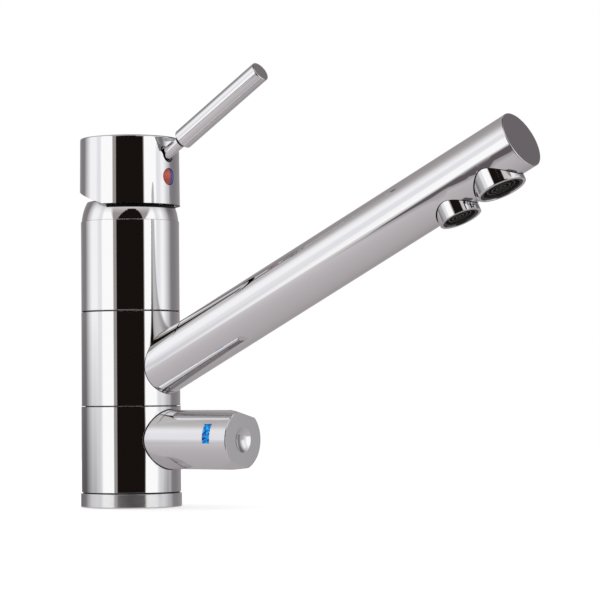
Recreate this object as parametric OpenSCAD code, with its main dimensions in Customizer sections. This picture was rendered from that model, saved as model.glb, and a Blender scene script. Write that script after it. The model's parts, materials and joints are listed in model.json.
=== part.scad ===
// Three way filtered water tap: a column with a turning spout that has two
// waterways, a mixing lever on top and a filtered water valve at the front.
// Millimetres, +Z up, +X is the front, the origin is the centre of the base
// underside where the tap stands on the sink.

/* [Base] */
// Overhang of the base ring past the column
base_step = 0.4; // [0.1:0.1:3]
// Height of the base ring
base_h = 6.9; // [5:0.1:10]
// Edge break of the base ring
base_chamfer = 0.5; // [0.2:0.1:1]
// Width of the base ring's seat under the column
foot_step = 5.1; // [4:0.1:5.5]
// Width of the base gasket
gasket_w = 2.2; // [1.2:0.1:2.6]
// Thickness of the base gasket
gasket_t = 1.8; // [1:0.1:2.6]

/* [Column] */
// Diameter of the lower column
body_d = 50; // [48:0.5:60]
// Height of the lower column above the base ring
lower_h = 43.2; // [42.6:0.2:50]
// Height of the dark groove over the base ring
groove_h = 0.6; // [0.3:0.1:1.2]
// Depth of the dark groove over the base ring
groove_depth = 0.7; // [0.4:0.1:1.2]
// Step from the lower column in to the upper column
upper_step = 0.2; // [0:0.05:0.5]
// Height of the upper column
upper_h = 45.1; // [42:0.1:55]
// Wall of the upper column round the cartridge
upper_wall = 7.3; // [7:0.1:7.8]
// Height of the threaded collar inside the dome
collar_h = 3; // [2:0.2:3.6]
// Wall of the threaded collar inside the dome
collar_wall = 2; // [1.6:0.1:2.3]

/* [Dome] */
// Step from the upper column in to the dome's round outside
dome_step = 0.3; // [0.2:0.1:0.6]
// Height of the dome
dome_h = 10; // [8:0.2:10.6]
// Wall of the dome
dome_wall = 1.5; // [1:0.1:2]
// Gap in the dome's opening round the cartridge's neck
dome_gap = 1; // [0.5:0.1:3]
// Drop of the sphere's centre under the dome's lower edge
dome_drop = 1.6; // [0:0.1:3]

/* [Barrel] */
// Step from the lower column in to the turning barrel
barrel_step = 0.15; // [0:0.05:0.4]
// Wall of the turning barrel
barrel_wall = 3.9; // [3.6:0.1:4.4]
// Height of the turning barrel
barrel_h = 47; // [44:0.2:52]
// Height of a slide ring
slide_h = 2; // [1.2:0.1:2.6]
// Width of a slide ring
slide_w = 2; // [1.2:0.1:2.2]

/* [Spout] */
// Angle of the spout above the horizontal
spout_angle = 25.7; // [22:0.1:28]
// Height over the barrel's lower edge at which the spout's axis meets the column's axis
spout_rise = 9.7; // [8:0.1:12]
// Length from the column's axis to the spout's end face
spout_l = 253; // [245:1:300]
// Diameter of the spout, taken at the column's axis
spout_d = 29.1; // [28.4:0.1:29.6]
// Diameter of the spout at its end
spout_tip_d = 27.4; // [26.8:0.1:29.6]
// Wall of the spout
spout_wall = 1.5; // [1:0.1:1.8]
// Thickness of the end cap's face
end_cap_t = 1.6; // [1:0.1:3]
// Edge break of the end cap
end_chamfer = 0.4; // [0.2:0.1:0.8]
// Outer diameter of the filtered water tube
filter_tube_d = 7; // [5:0.2:7.4]
// Wall of the filtered water tube
filter_tube_wall = 0.8; // [0.5:0.1:1.2]
// Gap between the filtered water tube and the wall at the spout's end
tube_gap = 0.7; // [0.3:0.1:1.2]
// Diameter of the mixed water opening in the barrel
mixed_hole_d = 10; // [8:0.2:10.6]
// Land between the mixed water opening and the spout's wall
mixed_land = 0.65; // [0.4:0.05:1.4]

/* [Outlets] */
// Distance of the mixed water outlet from the spout's end
main_back = 19.2; // [17:0.2:24]
// Outer diameter of the mixed water outlet
main_d = 23.8; // [22:0.2:24.2]
// Inner diameter of the mixed water outlet's rim
main_bore_d = 20.6; // [19:0.2:21]
// Length of the mixed water outlet that shows under the spout
main_show = 1.9; // [1.2:0.1:5]
// Distance between the two outlets
outlet_step = 25; // [23.5:0.5:40]
// Outer diameter of the filtered water outlet
filter_d = 20.2; // [18:0.2:21]
// Inner diameter of the filtered water outlet's rim
filter_bore_d = 17.4; // [15.4:0.2:17.8]
// Length of the filtered water outlet that shows under the spout
filter_show = 3; // [1.2:0.1:5]
// Width of the open joint round an outlet in the spout's surface
joint_w = 0.4; // [0.1:0.1:0.6]
// Depth at which an aerator sits inside its rim
aerator_inset = 0.5; // [0.4:0.1:2]
// Height of an aerator
aerator_h = 3.2; // [2.6:0.2:4]
// Thickness of an aerator's rings and ribs
aerator_rib = 0.7; // [0.5:0.05:0.9]
// Ribs in an aerator
aerator_ribs = 8; // [4:1:12]

/* [Mixing cartridge] */
// Wall of the cartridge housing
cart_wall = 1.9; // [1.6:0.1:2]
// Height of the cartridge base
cart_base_h = 9; // [8:0.2:9.6]
// Thickness of a ceramic disc
disc_t = 4; // [3:0.1:4.2]
// Gap between the fixed ceramic disc and the housing
disc_gap = 1.1; // [0.4:0.1:1.6]
// Step from the fixed disc in to the moving disc
disc_step = 2.5; // [2.2:0.1:3.4]
// Thickness of the driver's plate
driver_t = 3.5; // [3:0.1:3.8]
// Thickness of the carrier's flange
carrier_flange_t = 5; // [4.4:0.1:5.4]
// Thickness of the housing's roof
roof_t = 2; // [1.6:0.1:2.2]
// Step from the cartridge's outside in to its neck
housing_step = 4.5; // [4:0.1:5]
// Wall of the housing's neck
neck_wall = 2.5; // [2:0.1:3]
// Height of the lever's pivot over the housing's roof
pivot_rise = 6.8; // [6:0.1:7.4]
// Drop of the stem's ball under the pivot
ball_drop = 9; // [8.6:0.1:9.4]
// Width of the cartridge nut's thread past the cartridge
nut_grip = 2.5; // [2:0.1:2.8]
// Height of the cartridge nut
nut_h = 7.8; // [6.8:0.1:9]

/* [Lever] */
// Overhang of the cap's lower edge past the column
cap_step = 0.3; // [0:0.1:1.5]
// Draft from the cap's lower edge in to its top
cap_draft = 0.3; // [0:0.1:1]
// Height of the cap
cap_h = 34; // [33:0.2:38]
// Gap between the dome's seat and the cap's lower edge
cap_gap = 8; // [7.6:0.1:8.4]
// Wall of the cap at its lower edge
cap_wall = 2.3; // [1.8:0.1:2.4]
// Thickness of the cap's top
cap_top_t = 4; // [3:0.2:6]
// Edge rounding of the cap
cap_round = 0.8; // [0.3:0.1:1.2]
// Angle of the cut under the cap's back, which lets the lever rise
cap_cut_angle = 18.6; // [17:0.1:22]
// Distance in front of the axis at which that cut starts
cap_cut_x = 2.6; // [0:0.1:4]
// Angle of the lever bar above the horizontal
lever_angle = 32.1; // [30:0.1:34]
// Height over the cap's lower edge at which the bar meets the column's axis
lever_rise = 10.3; // [10:0.1:12]
// Diameter of the lever's neck
neck_d = 6; // [5:0.1:6.4]
// Diameter of the lever's grip
grip_d = 10.4; // [9:0.1:12]
// Length of the neck that shows between the cap and the grip
neck_show = 10.2; // [8:0.1:14]
// Length of the grip
grip_l = 57; // [40:1:90]
// Diameter of the hole round the neck
neck_hole_d = 8.7; // [8:0.1:9.2]
// Half angle of the dished pocket round the neck
pocket_angle = 66; // [60:1:70]
// Depth of the pocket's point in the cap's wall, along the bar
pocket_depth = 3.1; // [1.6:0.1:3.6]
// Thickness of the bridge over the pocket
pocket_roof = 1; // [0.6:0.1:1.6]
// Diameter of the round plug on the cap's front
plug_d = 8.5; // [7:0.1:8.8]
// Height of the plug over the cap's lower edge
plug_rise = 13.7; // [13:0.1:14.4]
// Height of the plug's dome
plug_dome = 1.6; // [0.8:0.1:2]

/* [Filter valve] */
// Height of the column over the knob
knob_land = 1.75; // [1:0.05:4]
// Diameter of the knob at the column
knob_d = 29.5; // [28:0.1:29.8]
// Draft from the knob's foot in to its end
knob_draft = 0.1; // [0:0.05:0.6]
// Length of the knob outside the column
knob_l = 45; // [43:0.5:65]
// Depth of the knob's pocket in the column
knob_sink = 6.5; // [6.2:0.1:6.8]
// Wall of the knob
knob_wall = 2.6; // [2.2:0.1:2.8]
// Thickness of the knob's end
knob_end_t = 6; // [4:0.2:8]
// Depth of the two finger flats at the knob's end
flat_depth = 2.2; // [1:0.1:2.4]
// Length over which a finger flat runs out
flat_run = 9; // [6:0.5:14]
// Turn of the finger flats from level
flat_turn = 13; // [0:1:30]
// Diameter of the round dimple in the knob's end
dimple_d = 12.4; // [8:0.2:14]
// Depth of the dimple
dimple_depth = 1.9; // [1:0.1:2.6]
// Width of the blue mark along the knob
mark_w = 4.2; // [3:0.2:8]
// Angle that the blue mark covers round the knob
mark_angle = 39; // [20:1:50]
// Diameter of the valve's headwork
headwork_d = 15.9; // [15.4:0.1:16]
// Diameter of the valve's spindle
spindle_d = 7.8; // [7:0.1:8]
// Thickness of a disc in the filter valve
small_disc_t = 2.5; // [2:0.1:2.6]

/* [Waterways] */
// Diameter of the threaded hose ports, at the thread's crest
port_d = 9; // [8.6:0.1:9.6]
// Depth of the threaded hose ports
port_depth = 11; // [8:0.5:12]
// Diameter of the hole for the fixing stud
stud_d = 6.8; // [5.8:0.1:7.2]
// Depth of the hole for the fixing stud
stud_depth = 13; // [9:0.5:13.4]
// Distance of the stud hole from the foot's edge
stud_back = 5.9; // [5.5:0.1:6.3]
// Diameter of the hot and cold risers
riser_d = 5.2; // [4:0.1:5.6]
// Distance of the risers from the fixed disc's rim
riser_back = 3.8; // [3.6:0.1:4.2]
// Angle of the risers from the back, to either side
riser_angle = 52.6; // [50:0.1:56]
// Distance of the mixed water passage from the fixed disc's rim
mixed_back = 7; // [6:0.1:7.4]
// Diameter of the mixed water passage
mixed_d = 6.4; // [5.6:0.1:6.8]
// Distance of the filtered water port from the foot's edge
filter_port_back = 8.9; // [8:0.1:9.6]
// Diameter of the filtered and mixed water drillings
drill_d = 5; // [4:0.1:5.4]

/* [Fits] */
// Radial clearance of a running fit
fit = 0.05; // [0.02:0.01:0.08]
// Visible gap between pieces that turn past each other
seam = 0.4; // [0.3:0.05:0.6]
// Gap round the knob in its pocket
knob_gap = 0.35; // [0.3:0.05:0.5]

/* [Hidden] */

$fn = 96;

// Overrun of every cut
cut = 1;
// Axial play of the turning pieces
play = 0.1;

// Heights along the column
lower_top = base_h + lower_h;
barrel_z = lower_top + seam;
barrel_top = barrel_z + barrel_h;
upper_z = barrel_top + seam;
upper_top = upper_z + upper_h;
spout_z = barrel_z + spout_rise;
knob_r = knob_d / 2;
knob_tip_r = knob_r - knob_draft;
knob_z = lower_top - knob_land - knob_r;

// Radii of the column
body_r = body_d / 2;
base_r = body_r + base_step;
foot_r = body_r - foot_step;
barrel_r = body_r - barrel_step;
barrel_bore_r = barrel_r - barrel_wall;
core_r = barrel_bore_r - fit;
upper_r = body_r - upper_step;
cart_r = upper_r - upper_wall;
nut_r = cart_r + nut_grip;
collar_r = nut_r + collar_wall;
dome_r = upper_r - dome_step;

// O-rings on the core: thickness, groove, and the two chambers between them
ring_t = 2.4;
ring_squeeze = 0.15;
ring_groove_h = ring_t + 2 * ring_squeeze;
ring_groove_depth = ring_t + ring_squeeze;
chamber_depth = 2.5;
chamber_margin = 0.8;
ring_land = 1.2;

// Spout
spout_r = spout_d / 2;
spout_tip_r = spout_tip_d / 2;
spout_taper = (spout_r - spout_tip_r) / spout_l;
filter_tube_drop = spout_tip_r - spout_wall - tube_gap - filter_tube_d / 2;
mixed_hole_rise = spout_r - spout_wall - mixed_land - mixed_hole_d / 2;
main_s = spout_l - main_back;
filter_s = main_s - outlet_step;
main_reach = spout_r - spout_taper * main_s + main_show;
filter_reach = spout_r - spout_taper * filter_s + filter_show;

// Where the filtered tube and the mixed opening meet the barrel's bore
tube_meet_z = spout_z + barrel_bore_r * tan(spout_angle) - filter_tube_drop / cos(spout_angle);
mixed_meet_z = spout_z + barrel_bore_r * tan(spout_angle) + mixed_hole_rise / cos(spout_angle);
tube_meet_h = filter_tube_d / cos(spout_angle);
mixed_meet_h = mixed_hole_d / cos(spout_angle);
filter_chamber_z = tube_meet_z - tube_meet_h / 2 - chamber_margin;
filter_chamber_h = tube_meet_h + 2 * chamber_margin;
mixed_chamber_z = mixed_meet_z - mixed_meet_h / 2 - chamber_margin;
mixed_chamber_h = mixed_meet_h + 2 * chamber_margin;
middle_ring_z = (filter_chamber_z + filter_chamber_h + mixed_chamber_z) / 2;
ring_zs = [filter_chamber_z - ring_land - ring_groove_h / 2, middle_ring_z,
    mixed_chamber_z + mixed_chamber_h + ring_land + ring_groove_h / 2];

// Inside the outlets
outlet_wall = 1.2;
outlet_seal_t = 1.2;
restrictor_t = 1.2;
restrictor_hole_d = 1.5;
head_room = 3.6;
main_head = main_reach - aerator_inset - aerator_h - restrictor_t - outlet_seal_t - head_room;
filter_head = filter_tube_drop - filter_tube_d / 2 - outlet_wall - play;
cap_spigot_l = 4;
cap_spigot_wall = 1.2;

// Mixing cartridge, from its nut downwards
cart_bore_r = cart_r - cart_wall;
nut_z = upper_top + collar_h - nut_h;
roof_z = nut_z - roof_t;
carrier_z = roof_z - play - carrier_flange_t;
driver_z = carrier_z - 5 * play - driver_t;
moving_disc_z = driver_z - disc_t;
fixed_disc_z = moving_disc_z - disc_t;
core_top = fixed_disc_z - cart_base_h;
fixed_disc_r = cart_bore_r - disc_gap;
moving_disc_r = fixed_disc_r - disc_step;
housing_neck_r = cart_r - housing_step;
carrier_neck_r = housing_neck_r - neck_wall;
riser_ring_r = fixed_disc_r - riser_back;
riser_x = riser_ring_r * cos(riser_angle);
riser_y = riser_ring_r * sin(riser_angle);
mixed_x = fixed_disc_r - mixed_back;
nut_slots = 4;
nut_slot_w = 4;
nut_slot_depth = 2;
pivot_z = nut_z + pivot_rise;
stem_w_share = 0.667;
stem_depth_share = 0.762;
stem_swing_share = 0.61;
pin_share = 0.286;
ball_share = 0.476;
shank_share = 0.64;
boss_x_share = 0.75;
stem_w = stem_w_share * carrier_neck_r;
stem_depth = stem_depth_share * carrier_neck_r;
stem_swing = stem_swing_share * carrier_neck_r;
pin_d = pin_share * carrier_neck_r;
ball_d = ball_share * carrier_neck_r;
shank_d = shank_share * ball_d;
pin_l = 2 * carrier_neck_r - 4 * play;
housing_top = pivot_z + pin_d / 2 + fit + play * 5;
carrier_lip = 2.2;
carrier_top = pivot_z + pin_d + carrier_lip;
ball_z = pivot_z - ball_drop;
boss_x = boss_x_share * moving_disc_r;
boss_y = moving_disc_r;
boss_top_lift = 0.6;
slot_travel = 2 * ball_drop * sin(cap_cut_angle) + 2 * seam;
shank_top_drop = 4.2;
peg_d = 3;
peg_h = 2.6;
peg_back = 3.1;
peg_y = cart_bore_r - peg_back;
seal_t = 1.2;
seal_w = 1.2;

// Lever cap
cap_z = upper_top + cap_gap;
cap_top = cap_z + cap_h;
cap_r = body_r + cap_step;
cap_top_r = cap_r - cap_draft;
cap_bore_r = cap_r - cap_wall;
cap_ceiling = cap_top - cap_top_t;
socket_wall = 4.4;
socket_lift = 7;
stem_drop = 7.7;
stem_top = cap_ceiling - stem_drop;
lever_z = cap_z + lever_rise;
cap_s = cap_r / cos(lever_angle);
pocket_s = cap_s - pocket_depth;
grip_s = cap_s + neck_show;
neck_seat = 14.4;
neck_floor_s = cap_s - neck_seat;
neck_s = neck_floor_s + 5 * play;
neck_hole_s = cap_s - 2 * pocket_depth;
block_r = 13;
block_l = 16.8;
block_s = cap_s - block_l;
grip_chamfer = 0.6;
neck_groove = 0.7;
plug_z = cap_z + plug_rise;
plug_depth = 2;
plug_seat_x = cap_bore_r + play;
key_hole_d = 3.6;
grub_d = 5;
grub_l = 4.2;
grub_key_share = 0.6;
grub_gap = 0.2;

// Filter valve, measured along the knob from the column's axis
knob_seat_x = body_r - knob_sink;
knob_reach = body_r + knob_l;
headwork_l = 20.5;
valve_floor_x = knob_seat_x - headwork_l;
seat_bore_d = 8;
seat_ring_t = 2;
disc_x = valve_floor_x + seat_ring_t;
moving_x = disc_x + small_disc_t;
foot_x = moving_x + small_disc_t;
foot_t = 3;
foot_w = 5;
spindle_step_x = foot_x + foot_t;
flange_t = 3.5;
flange_d = 22;
nose_d = 12;
nose_l = 8;
nose_end_x = knob_seat_x + flange_t + nose_l;
window_w = 5;
window_x = moving_x + small_disc_t / 2;
window_l = 3;
clip_t = 0.8;
spline_x = nose_end_x + 2 * clip_t;
spline_l = 14;
spindle_end_x = spline_x + spline_l;
spline_teeth = 12;
spline_depth = 0.5;
insert_x = nose_end_x + 2 * clip_t;
insert_l = 18;
clip_w = 1.4;
clip_groove = 0.6;
spindle_ring_t = 1.6;
spindle_ring_x = knob_seat_x + flange_t + nose_l / 2;
small_disc_d = 12.8;
small_port_d = 3.2;
small_port_r = 3.4;
valve_ring_t = 1.4;
knob_start_x = knob_seat_x + knob_gap;
knob_chamfer = 0.35;
mark_t = 0.5;
mark_proud = 0.05;
mark_back = 11.9;
mark_x = knob_reach - mark_back;
mark_lift = 13.5;

// Waterways
cross_land = 5.15;
cross_z = knob_z - headwork_d / 2 - cross_land - drill_d / 2;
riser_land = 2.5;
filter_riser_x = valve_floor_x - riser_land - drill_d / 2;
seat_bore_x = filter_riser_x - drill_d / 2;
up_x = window_x + window_l / 2;
stud_x = foot_r - stud_back;
filter_port_x = foot_r - filter_port_back;
side_z = filter_chamber_z + filter_chamber_h / 2;
mixed_side_z = mixed_chamber_z + mixed_chamber_h / 2;

// Frames: the local +Z runs along the spout, down an outlet, along the bar or along the knob
module spout_frame() { translate([0, 0, spout_z]) rotate([0, 90 - spout_angle, 0]) children(); }
module outlet_frame(s) { spout_frame() translate([0, 0, s]) rotate([0, 90, 0]) children(); }
module lever_frame() { translate([0, 0, lever_z]) rotate([0, 90 - lever_angle, 0]) children(); }
module knob_frame(x) { translate([x, 0, knob_z]) rotate([0, 90, 0]) children(); }
module at_z(z) { translate([0, 0, z]) children(); }

// Shared shapes
module pipe(r_out, r_in, h) {
    difference() {
        cylinder(r = r_out, h = h);
        at_z(-cut) cylinder(r = r_in, h = h + 2 * cut);
    }
}

module o_ring(r_out, t) {
    rotate_extrude() translate([r_out - t / 2, 0]) circle(d = t);
}

module block(w, d, h) { translate([-w / 2, -d / 2, 0]) cube([w, d, h]); }

module turned(points) { rotate_extrude() polygon(points); }

// Round bar with both edges broken
module broken_bar(r, h, edge) {
    turned([[0, 0], [r - edge, 0], [r, edge], [r, h - edge], [r - edge, h], [0, h]]);
}

// Base and lower column
module base_ring() {
    color("silver") difference() {
        turned([[0, 0], [base_r - base_chamfer, 0], [base_r, base_chamfer], [base_r, base_h], [0, base_h]]);
        at_z(-cut) cylinder(r = foot_r + fit, h = base_h + 2 * cut);
        at_z(-cut) pipe(foot_r + base_chamfer + gasket_w + fit, foot_r + base_chamfer, gasket_t + cut);
    }
}

module base_gasket() {
    color("dimgray") pipe(foot_r + base_chamfer + gasket_w, foot_r + base_chamfer + fit, gasket_t);
}

module core_groove(z, h, depth) { at_z(z) pipe(core_r + cut, core_r - depth, h); }

module port(x, y, d, depth) { translate([x, y, -cut]) cylinder(d = d, h = depth + cut); }

module riser(x, y, z0, z1, d) { translate([x, y, z0]) cylinder(d = d, h = z1 - z0); }

module side_drill(x0, x1, z, d) { translate([x0, 0, z]) rotate([0, 90, 0]) cylinder(d = d, h = x1 - x0); }

module valve_body() {
    color("silver") difference() {
        turned([[0, 0], [foot_r, 0], [foot_r, base_h], [body_r - groove_depth, base_h],
            [body_r - groove_depth, base_h + groove_h], [body_r, base_h + groove_h],
            [body_r, lower_top], [core_r, lower_top], [core_r, core_top], [0, core_top]]);
        // pocket, bore and seat of the filter valve
        knob_frame(knob_seat_x) cylinder(r = knob_r + knob_gap, h = body_r);
        knob_frame(valve_floor_x) cylinder(d = headwork_d + 2 * fit, h = body_r);
        knob_frame(seat_bore_x) cylinder(d = seat_bore_d, h = valve_floor_x - seat_bore_x + cut);
        // grooves for the O-rings and the two water chambers
        for (z = ring_zs) core_groove(z - ring_groove_h / 2, ring_groove_h, ring_groove_depth);
        core_groove(filter_chamber_z, filter_chamber_h, chamber_depth);
        core_groove(mixed_chamber_z, mixed_chamber_h, chamber_depth);
        // hot and cold water
        for (side = [-1, 1]) {
            port(-riser_x, side * riser_y, port_d, port_depth);
            riser(-riser_x, side * riser_y, 0, core_top + cut, riser_d);
            translate([0, side * peg_y, core_top - peg_h - play])
                cylinder(d = peg_d + 2 * fit, h = peg_h + cut);
        }
        // filtered water in, to the valve's seat
        port(filter_port_x, 0, port_d, port_depth);
        riser(filter_port_x, 0, 0, cross_z, drill_d);
        side_drill(filter_riser_x, filter_port_x + drill_d / 2, cross_z, drill_d);
        riser(filter_riser_x, 0, cross_z, knob_z, drill_d);
        // filtered water out, to the lower chamber
        riser(up_x, 0, knob_z, side_z + drill_d / 2, drill_d);
        side_drill(up_x, core_r, side_z, drill_d);
        // mixed water, from the cartridge to the upper chamber
        riser(mixed_x, 0, mixed_side_z - mixed_d / 2, core_top + cut, mixed_d);
        side_drill(mixed_x, core_r, mixed_side_z, mixed_d);
        port(-stud_x, 0, stud_d, stud_depth);
    }
}

module slide_ring() { pipe(barrel_bore_r + slide_w, core_r + fit, slide_h); }

module lower_slide_ring() { color("whitesmoke") at_z(lower_top) slide_ring(); }

module upper_slide_ring() { color("whitesmoke") at_z(upper_z - slide_h) slide_ring(); }

module barrel_seals() {
    color("black") for (z = ring_zs) at_z(z) o_ring(barrel_bore_r - fit, ring_t);
}

// Upper column with the cartridge
module upper_body() {
    color("silver") difference() {
        turned([[0, upper_z], [upper_r, upper_z], [upper_r, upper_top], [collar_r, upper_top],
            [collar_r, upper_top + collar_h], [0, upper_top + collar_h]]);
        at_z(upper_z - cut) cylinder(r = core_r + fit, h = core_top - upper_z + cut);
        at_z(upper_z) cylinder(r = cart_r + fit, h = upper_h);
        at_z(nut_z) cylinder(r = nut_r + fit, h = upper_h);
    }
}

module dome_cover() {
    color("silver") difference() {
        intersection() {
            at_z(upper_top - dome_drop) sphere(r = dome_r);
            at_z(upper_top) cylinder(r = upper_r, h = dome_h);
        }
        at_z(upper_top - cut) cylinder(r = collar_r + fit, h = collar_h + cut + play);
        intersection() {
            at_z(upper_top - dome_drop) sphere(r = dome_r - dome_wall);
            at_z(upper_top - cut) cylinder(r = collar_r, h = dome_h + cut - dome_wall);
        }
        at_z(upper_top) cylinder(r = housing_neck_r + dome_gap, h = dome_h + cut);
    }
}

module cartridge_nut() {
    color("goldenrod") at_z(nut_z) difference() {
        cylinder(r = nut_r, h = nut_h);
        at_z(-cut) cylinder(r = housing_neck_r + fit, h = nut_h + 2 * cut);
        for (i = [0 : nut_slots - 1]) rotate([0, 0, i * 360 / nut_slots + 45])
            translate([nut_r - nut_slot_depth, -nut_slot_w / 2, nut_h - nut_slot_depth])
            cube([nut_slot_depth + cut, nut_slot_w, nut_slot_depth + cut]);
    }
}

module cartridge_housing() {
    color("ivory") difference() {
        turned([[0, core_top], [cart_r, core_top], [cart_r, nut_z], [housing_neck_r, nut_z],
            [housing_neck_r, housing_top], [0, housing_top]]);
        at_z(core_top - cut) cylinder(r = cart_bore_r, h = roof_z - core_top + cut);
        at_z(roof_z - cut) cylinder(r = carrier_neck_r + fit, h = housing_top - roof_z + 2 * cut);
    }
}

// The three passages of the cartridge: hot, cold and mixed
module passages(z, h, extra = 0) {
    for (side = [-1, 1]) translate([-riser_x, side * riser_y, z]) cylinder(d = riser_d + extra, h = h);
    translate([mixed_x, 0, z]) cylinder(d = mixed_d + extra, h = h);
}

module cartridge_base() {
    color("darkgray") difference() {
        union() {
            at_z(core_top) cylinder(r = cart_bore_r - fit, h = cart_base_h);
            for (side = [-1, 1]) translate([0, side * peg_y, core_top - peg_h])
                cylinder(d = peg_d, h = 2 * peg_h);
        }
        passages(core_top - cut, cart_base_h + 2 * cut);
        passages(core_top - cut, seal_t + cut, 2 * seal_w);
    }
}

module cartridge_seals() {
    color("black") difference() {
        passages(core_top, seal_t, 2 * seal_w);
        passages(core_top - cut, seal_t + 2 * cut);
    }
}

module fixed_disc() {
    color("white") difference() {
        at_z(fixed_disc_z) cylinder(r = fixed_disc_r, h = disc_t);
        passages(fixed_disc_z - cut, disc_t + 2 * cut);
    }
}

// The mixing recess in the underside of the moving disc
module moving_disc() {
    color("white") at_z(moving_disc_z) difference() {
        cylinder(r = moving_disc_r, h = disc_t);
        hull() for (x = [-disc_t / 2, mixed_x - disc_t / 2]) translate([x, 0, -cut])
            cylinder(d = mixed_d, h = disc_t / 2 + cut, $fn = 32);
    }
}

module disc_driver() {
    color("royalblue") difference() {
        union() {
            at_z(driver_z) cylinder(r = moving_disc_r - play, h = driver_t);
            at_z(driver_z) block(boss_x, boss_y, ball_z + boss_top_lift - driver_z);
        }
        at_z(ball_z - ball_d / 2 - play) cylinder(d = ball_d + 4 * fit, h = ball_d + cut);
    }
}

module cartridge_carrier() {
    color("lightsteelblue") difference() {
        union() {
            at_z(carrier_z) cylinder(r = cart_bore_r - fit, h = carrier_flange_t);
            at_z(carrier_z) cylinder(r = carrier_neck_r, h = carrier_top - carrier_z);
        }
        at_z(carrier_z - cut)
            block(boss_x + slot_travel, boss_y + 2 * play, ball_z + ball_d / 2 - carrier_z + cut);
        at_z(carrier_z) block(2 * stem_swing, stem_depth + 2 * play, carrier_top - carrier_z + cut);
        at_z(pivot_z) rotate([90, 0, 0]) cylinder(d = pin_d, h = 2 * carrier_neck_r, center = true);
    }
}

module pivot_pin() {
    color("gray") at_z(pivot_z) rotate([90, 0, 0]) cylinder(d = pin_d, h = pin_l, center = true);
}

// Lever
module lever_stem() {
    color("gray") difference() {
        union() {
            at_z(ball_z) sphere(d = ball_d);
            at_z(ball_z) cylinder(d = shank_d, h = ball_drop);
            at_z(pivot_z - shank_top_drop) block(stem_w, stem_depth, stem_top - pivot_z + shank_top_drop);
        }
        at_z(pivot_z) rotate([90, 0, 0]) cylinder(d = pin_d + 2 * fit, h = 2 * carrier_neck_r, center = true);
    }
}

module cap_shell() {
    difference() {
        at_z(cap_z) rotate_extrude() union() {
            polygon([[0, 0], [cap_r, 0], [cap_top_r, cap_h - cap_round],
                [cap_top_r - cap_round, cap_h - cap_round], [cap_top_r - cap_round, cap_h], [0, cap_h]]);
            translate([cap_top_r - cap_round, cap_h - cap_round]) intersection() {
                circle(r = cap_round);
                square([cap_round, cap_round]);
            }
        }
        at_z(cap_z - cut) cylinder(r = cap_bore_r, h = cap_ceiling - cap_z + cut);
    }
}

module lever_cap() {
    socket_x = stem_w + 2 * socket_wall;
    socket_y = stem_depth + 2 * socket_wall;
    color("silver") difference() {
        union() {
            cap_shell();
            at_z(cap_z + socket_lift)
                block(socket_x, socket_y, cap_ceiling - cap_z - socket_lift + cut);
            // solid round the bar's thread
            intersection() {
                lever_frame() at_z(block_s) cylinder(r = block_r, h = 2 * block_l);
                at_z(cap_z + socket_lift)
                    cylinder(r = cap_bore_r + cut, h = cap_ceiling - cap_z - socket_lift + cut);
            }
        }
        // socket for the stem
        at_z(cap_z) block(stem_w + 2 * fit, stem_depth + 2 * fit, stem_top - cap_z + seam);
        // thread, clearance and dished pocket of the bar
        lever_frame() at_z(neck_floor_s) cylinder(d = neck_d + 2 * fit, h = cap_r);
        lever_frame() at_z(neck_hole_s) cylinder(d = neck_hole_d, h = cap_r);
        intersection() {
            lever_frame() at_z(pocket_s) cylinder(r1 = 0, r2 = cap_r * tan(pocket_angle), h = cap_r);
            at_z(cap_z) cylinder(r = 2 * cap_r, h = cap_h - pocket_roof);
        }
        // plug, key hole and grub screw
        translate([plug_seat_x, 0, plug_z]) rotate([0, 90, 0]) cylinder(d = plug_d + 2 * fit, h = cap_r);
        translate([0, 0, plug_z]) rotate([0, 90, 0]) cylinder(d = key_hole_d, h = cap_r - plug_depth);
        translate([0, 0, plug_z]) rotate([0, 90, 0]) cylinder(d = grub_d + 2 * fit, h = socket_x / 2 + fit);
        // slanted cut under the back, which lets the cap tip back
        translate([cap_cut_x, 0, cap_z]) rotate([0, cap_cut_angle, 0])
            translate([-3 * cap_r, -2 * cap_r, -cap_r]) cube([3 * cap_r, 4 * cap_r, cap_r]);
    }
}

module lever_neck() {
    color("silver") lever_frame() {
        at_z(neck_s) cylinder(d = neck_d, h = grip_s - neck_groove - neck_s);
        at_z(neck_s) cylinder(d = neck_d - 2 * neck_groove, h = grip_s + grip_d - neck_s);
    }
}

module lever_grip() {
    color("silver") lever_frame() at_z(grip_s) difference() {
        broken_bar(grip_d / 2, grip_l, grip_chamfer);
        at_z(-cut) cylinder(d = neck_d - 2 * neck_groove + 2 * fit, h = grip_d + cut + play);
    }
}

module cap_grub_screw() {
    grub_x = stem_w / 2 + fit + grub_gap / 2;
    color("dimgray") translate([grub_x, 0, plug_z]) rotate([0, 90, 0]) difference() {
        cylinder(d = grub_d, h = grub_l - grub_gap);
        at_z(grub_l / 2) cylinder(d = grub_d * grub_key_share, h = grub_l, $fn = 6);
    }
}

module plug_half(side) {
    dome_radius = (pow(plug_d / 2, 2) + pow(plug_dome, 2)) / (2 * plug_dome);
    rise = cap_r - groove_depth + plug_dome - plug_seat_x;
    translate([plug_seat_x, 0, plug_z]) rotate([0, 90, 0]) rotate([0, 0, side > 0 ? 0 : 180])
        rotate_extrude(angle = 180) intersection() {
            translate([0, rise - dome_radius]) circle(r = dome_radius);
            square([plug_d / 2, rise]);
        }
}

module hot_mark() { color("firebrick") plug_half(-1); }

module cold_mark() { color("darkblue") plug_half(1); }

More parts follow.
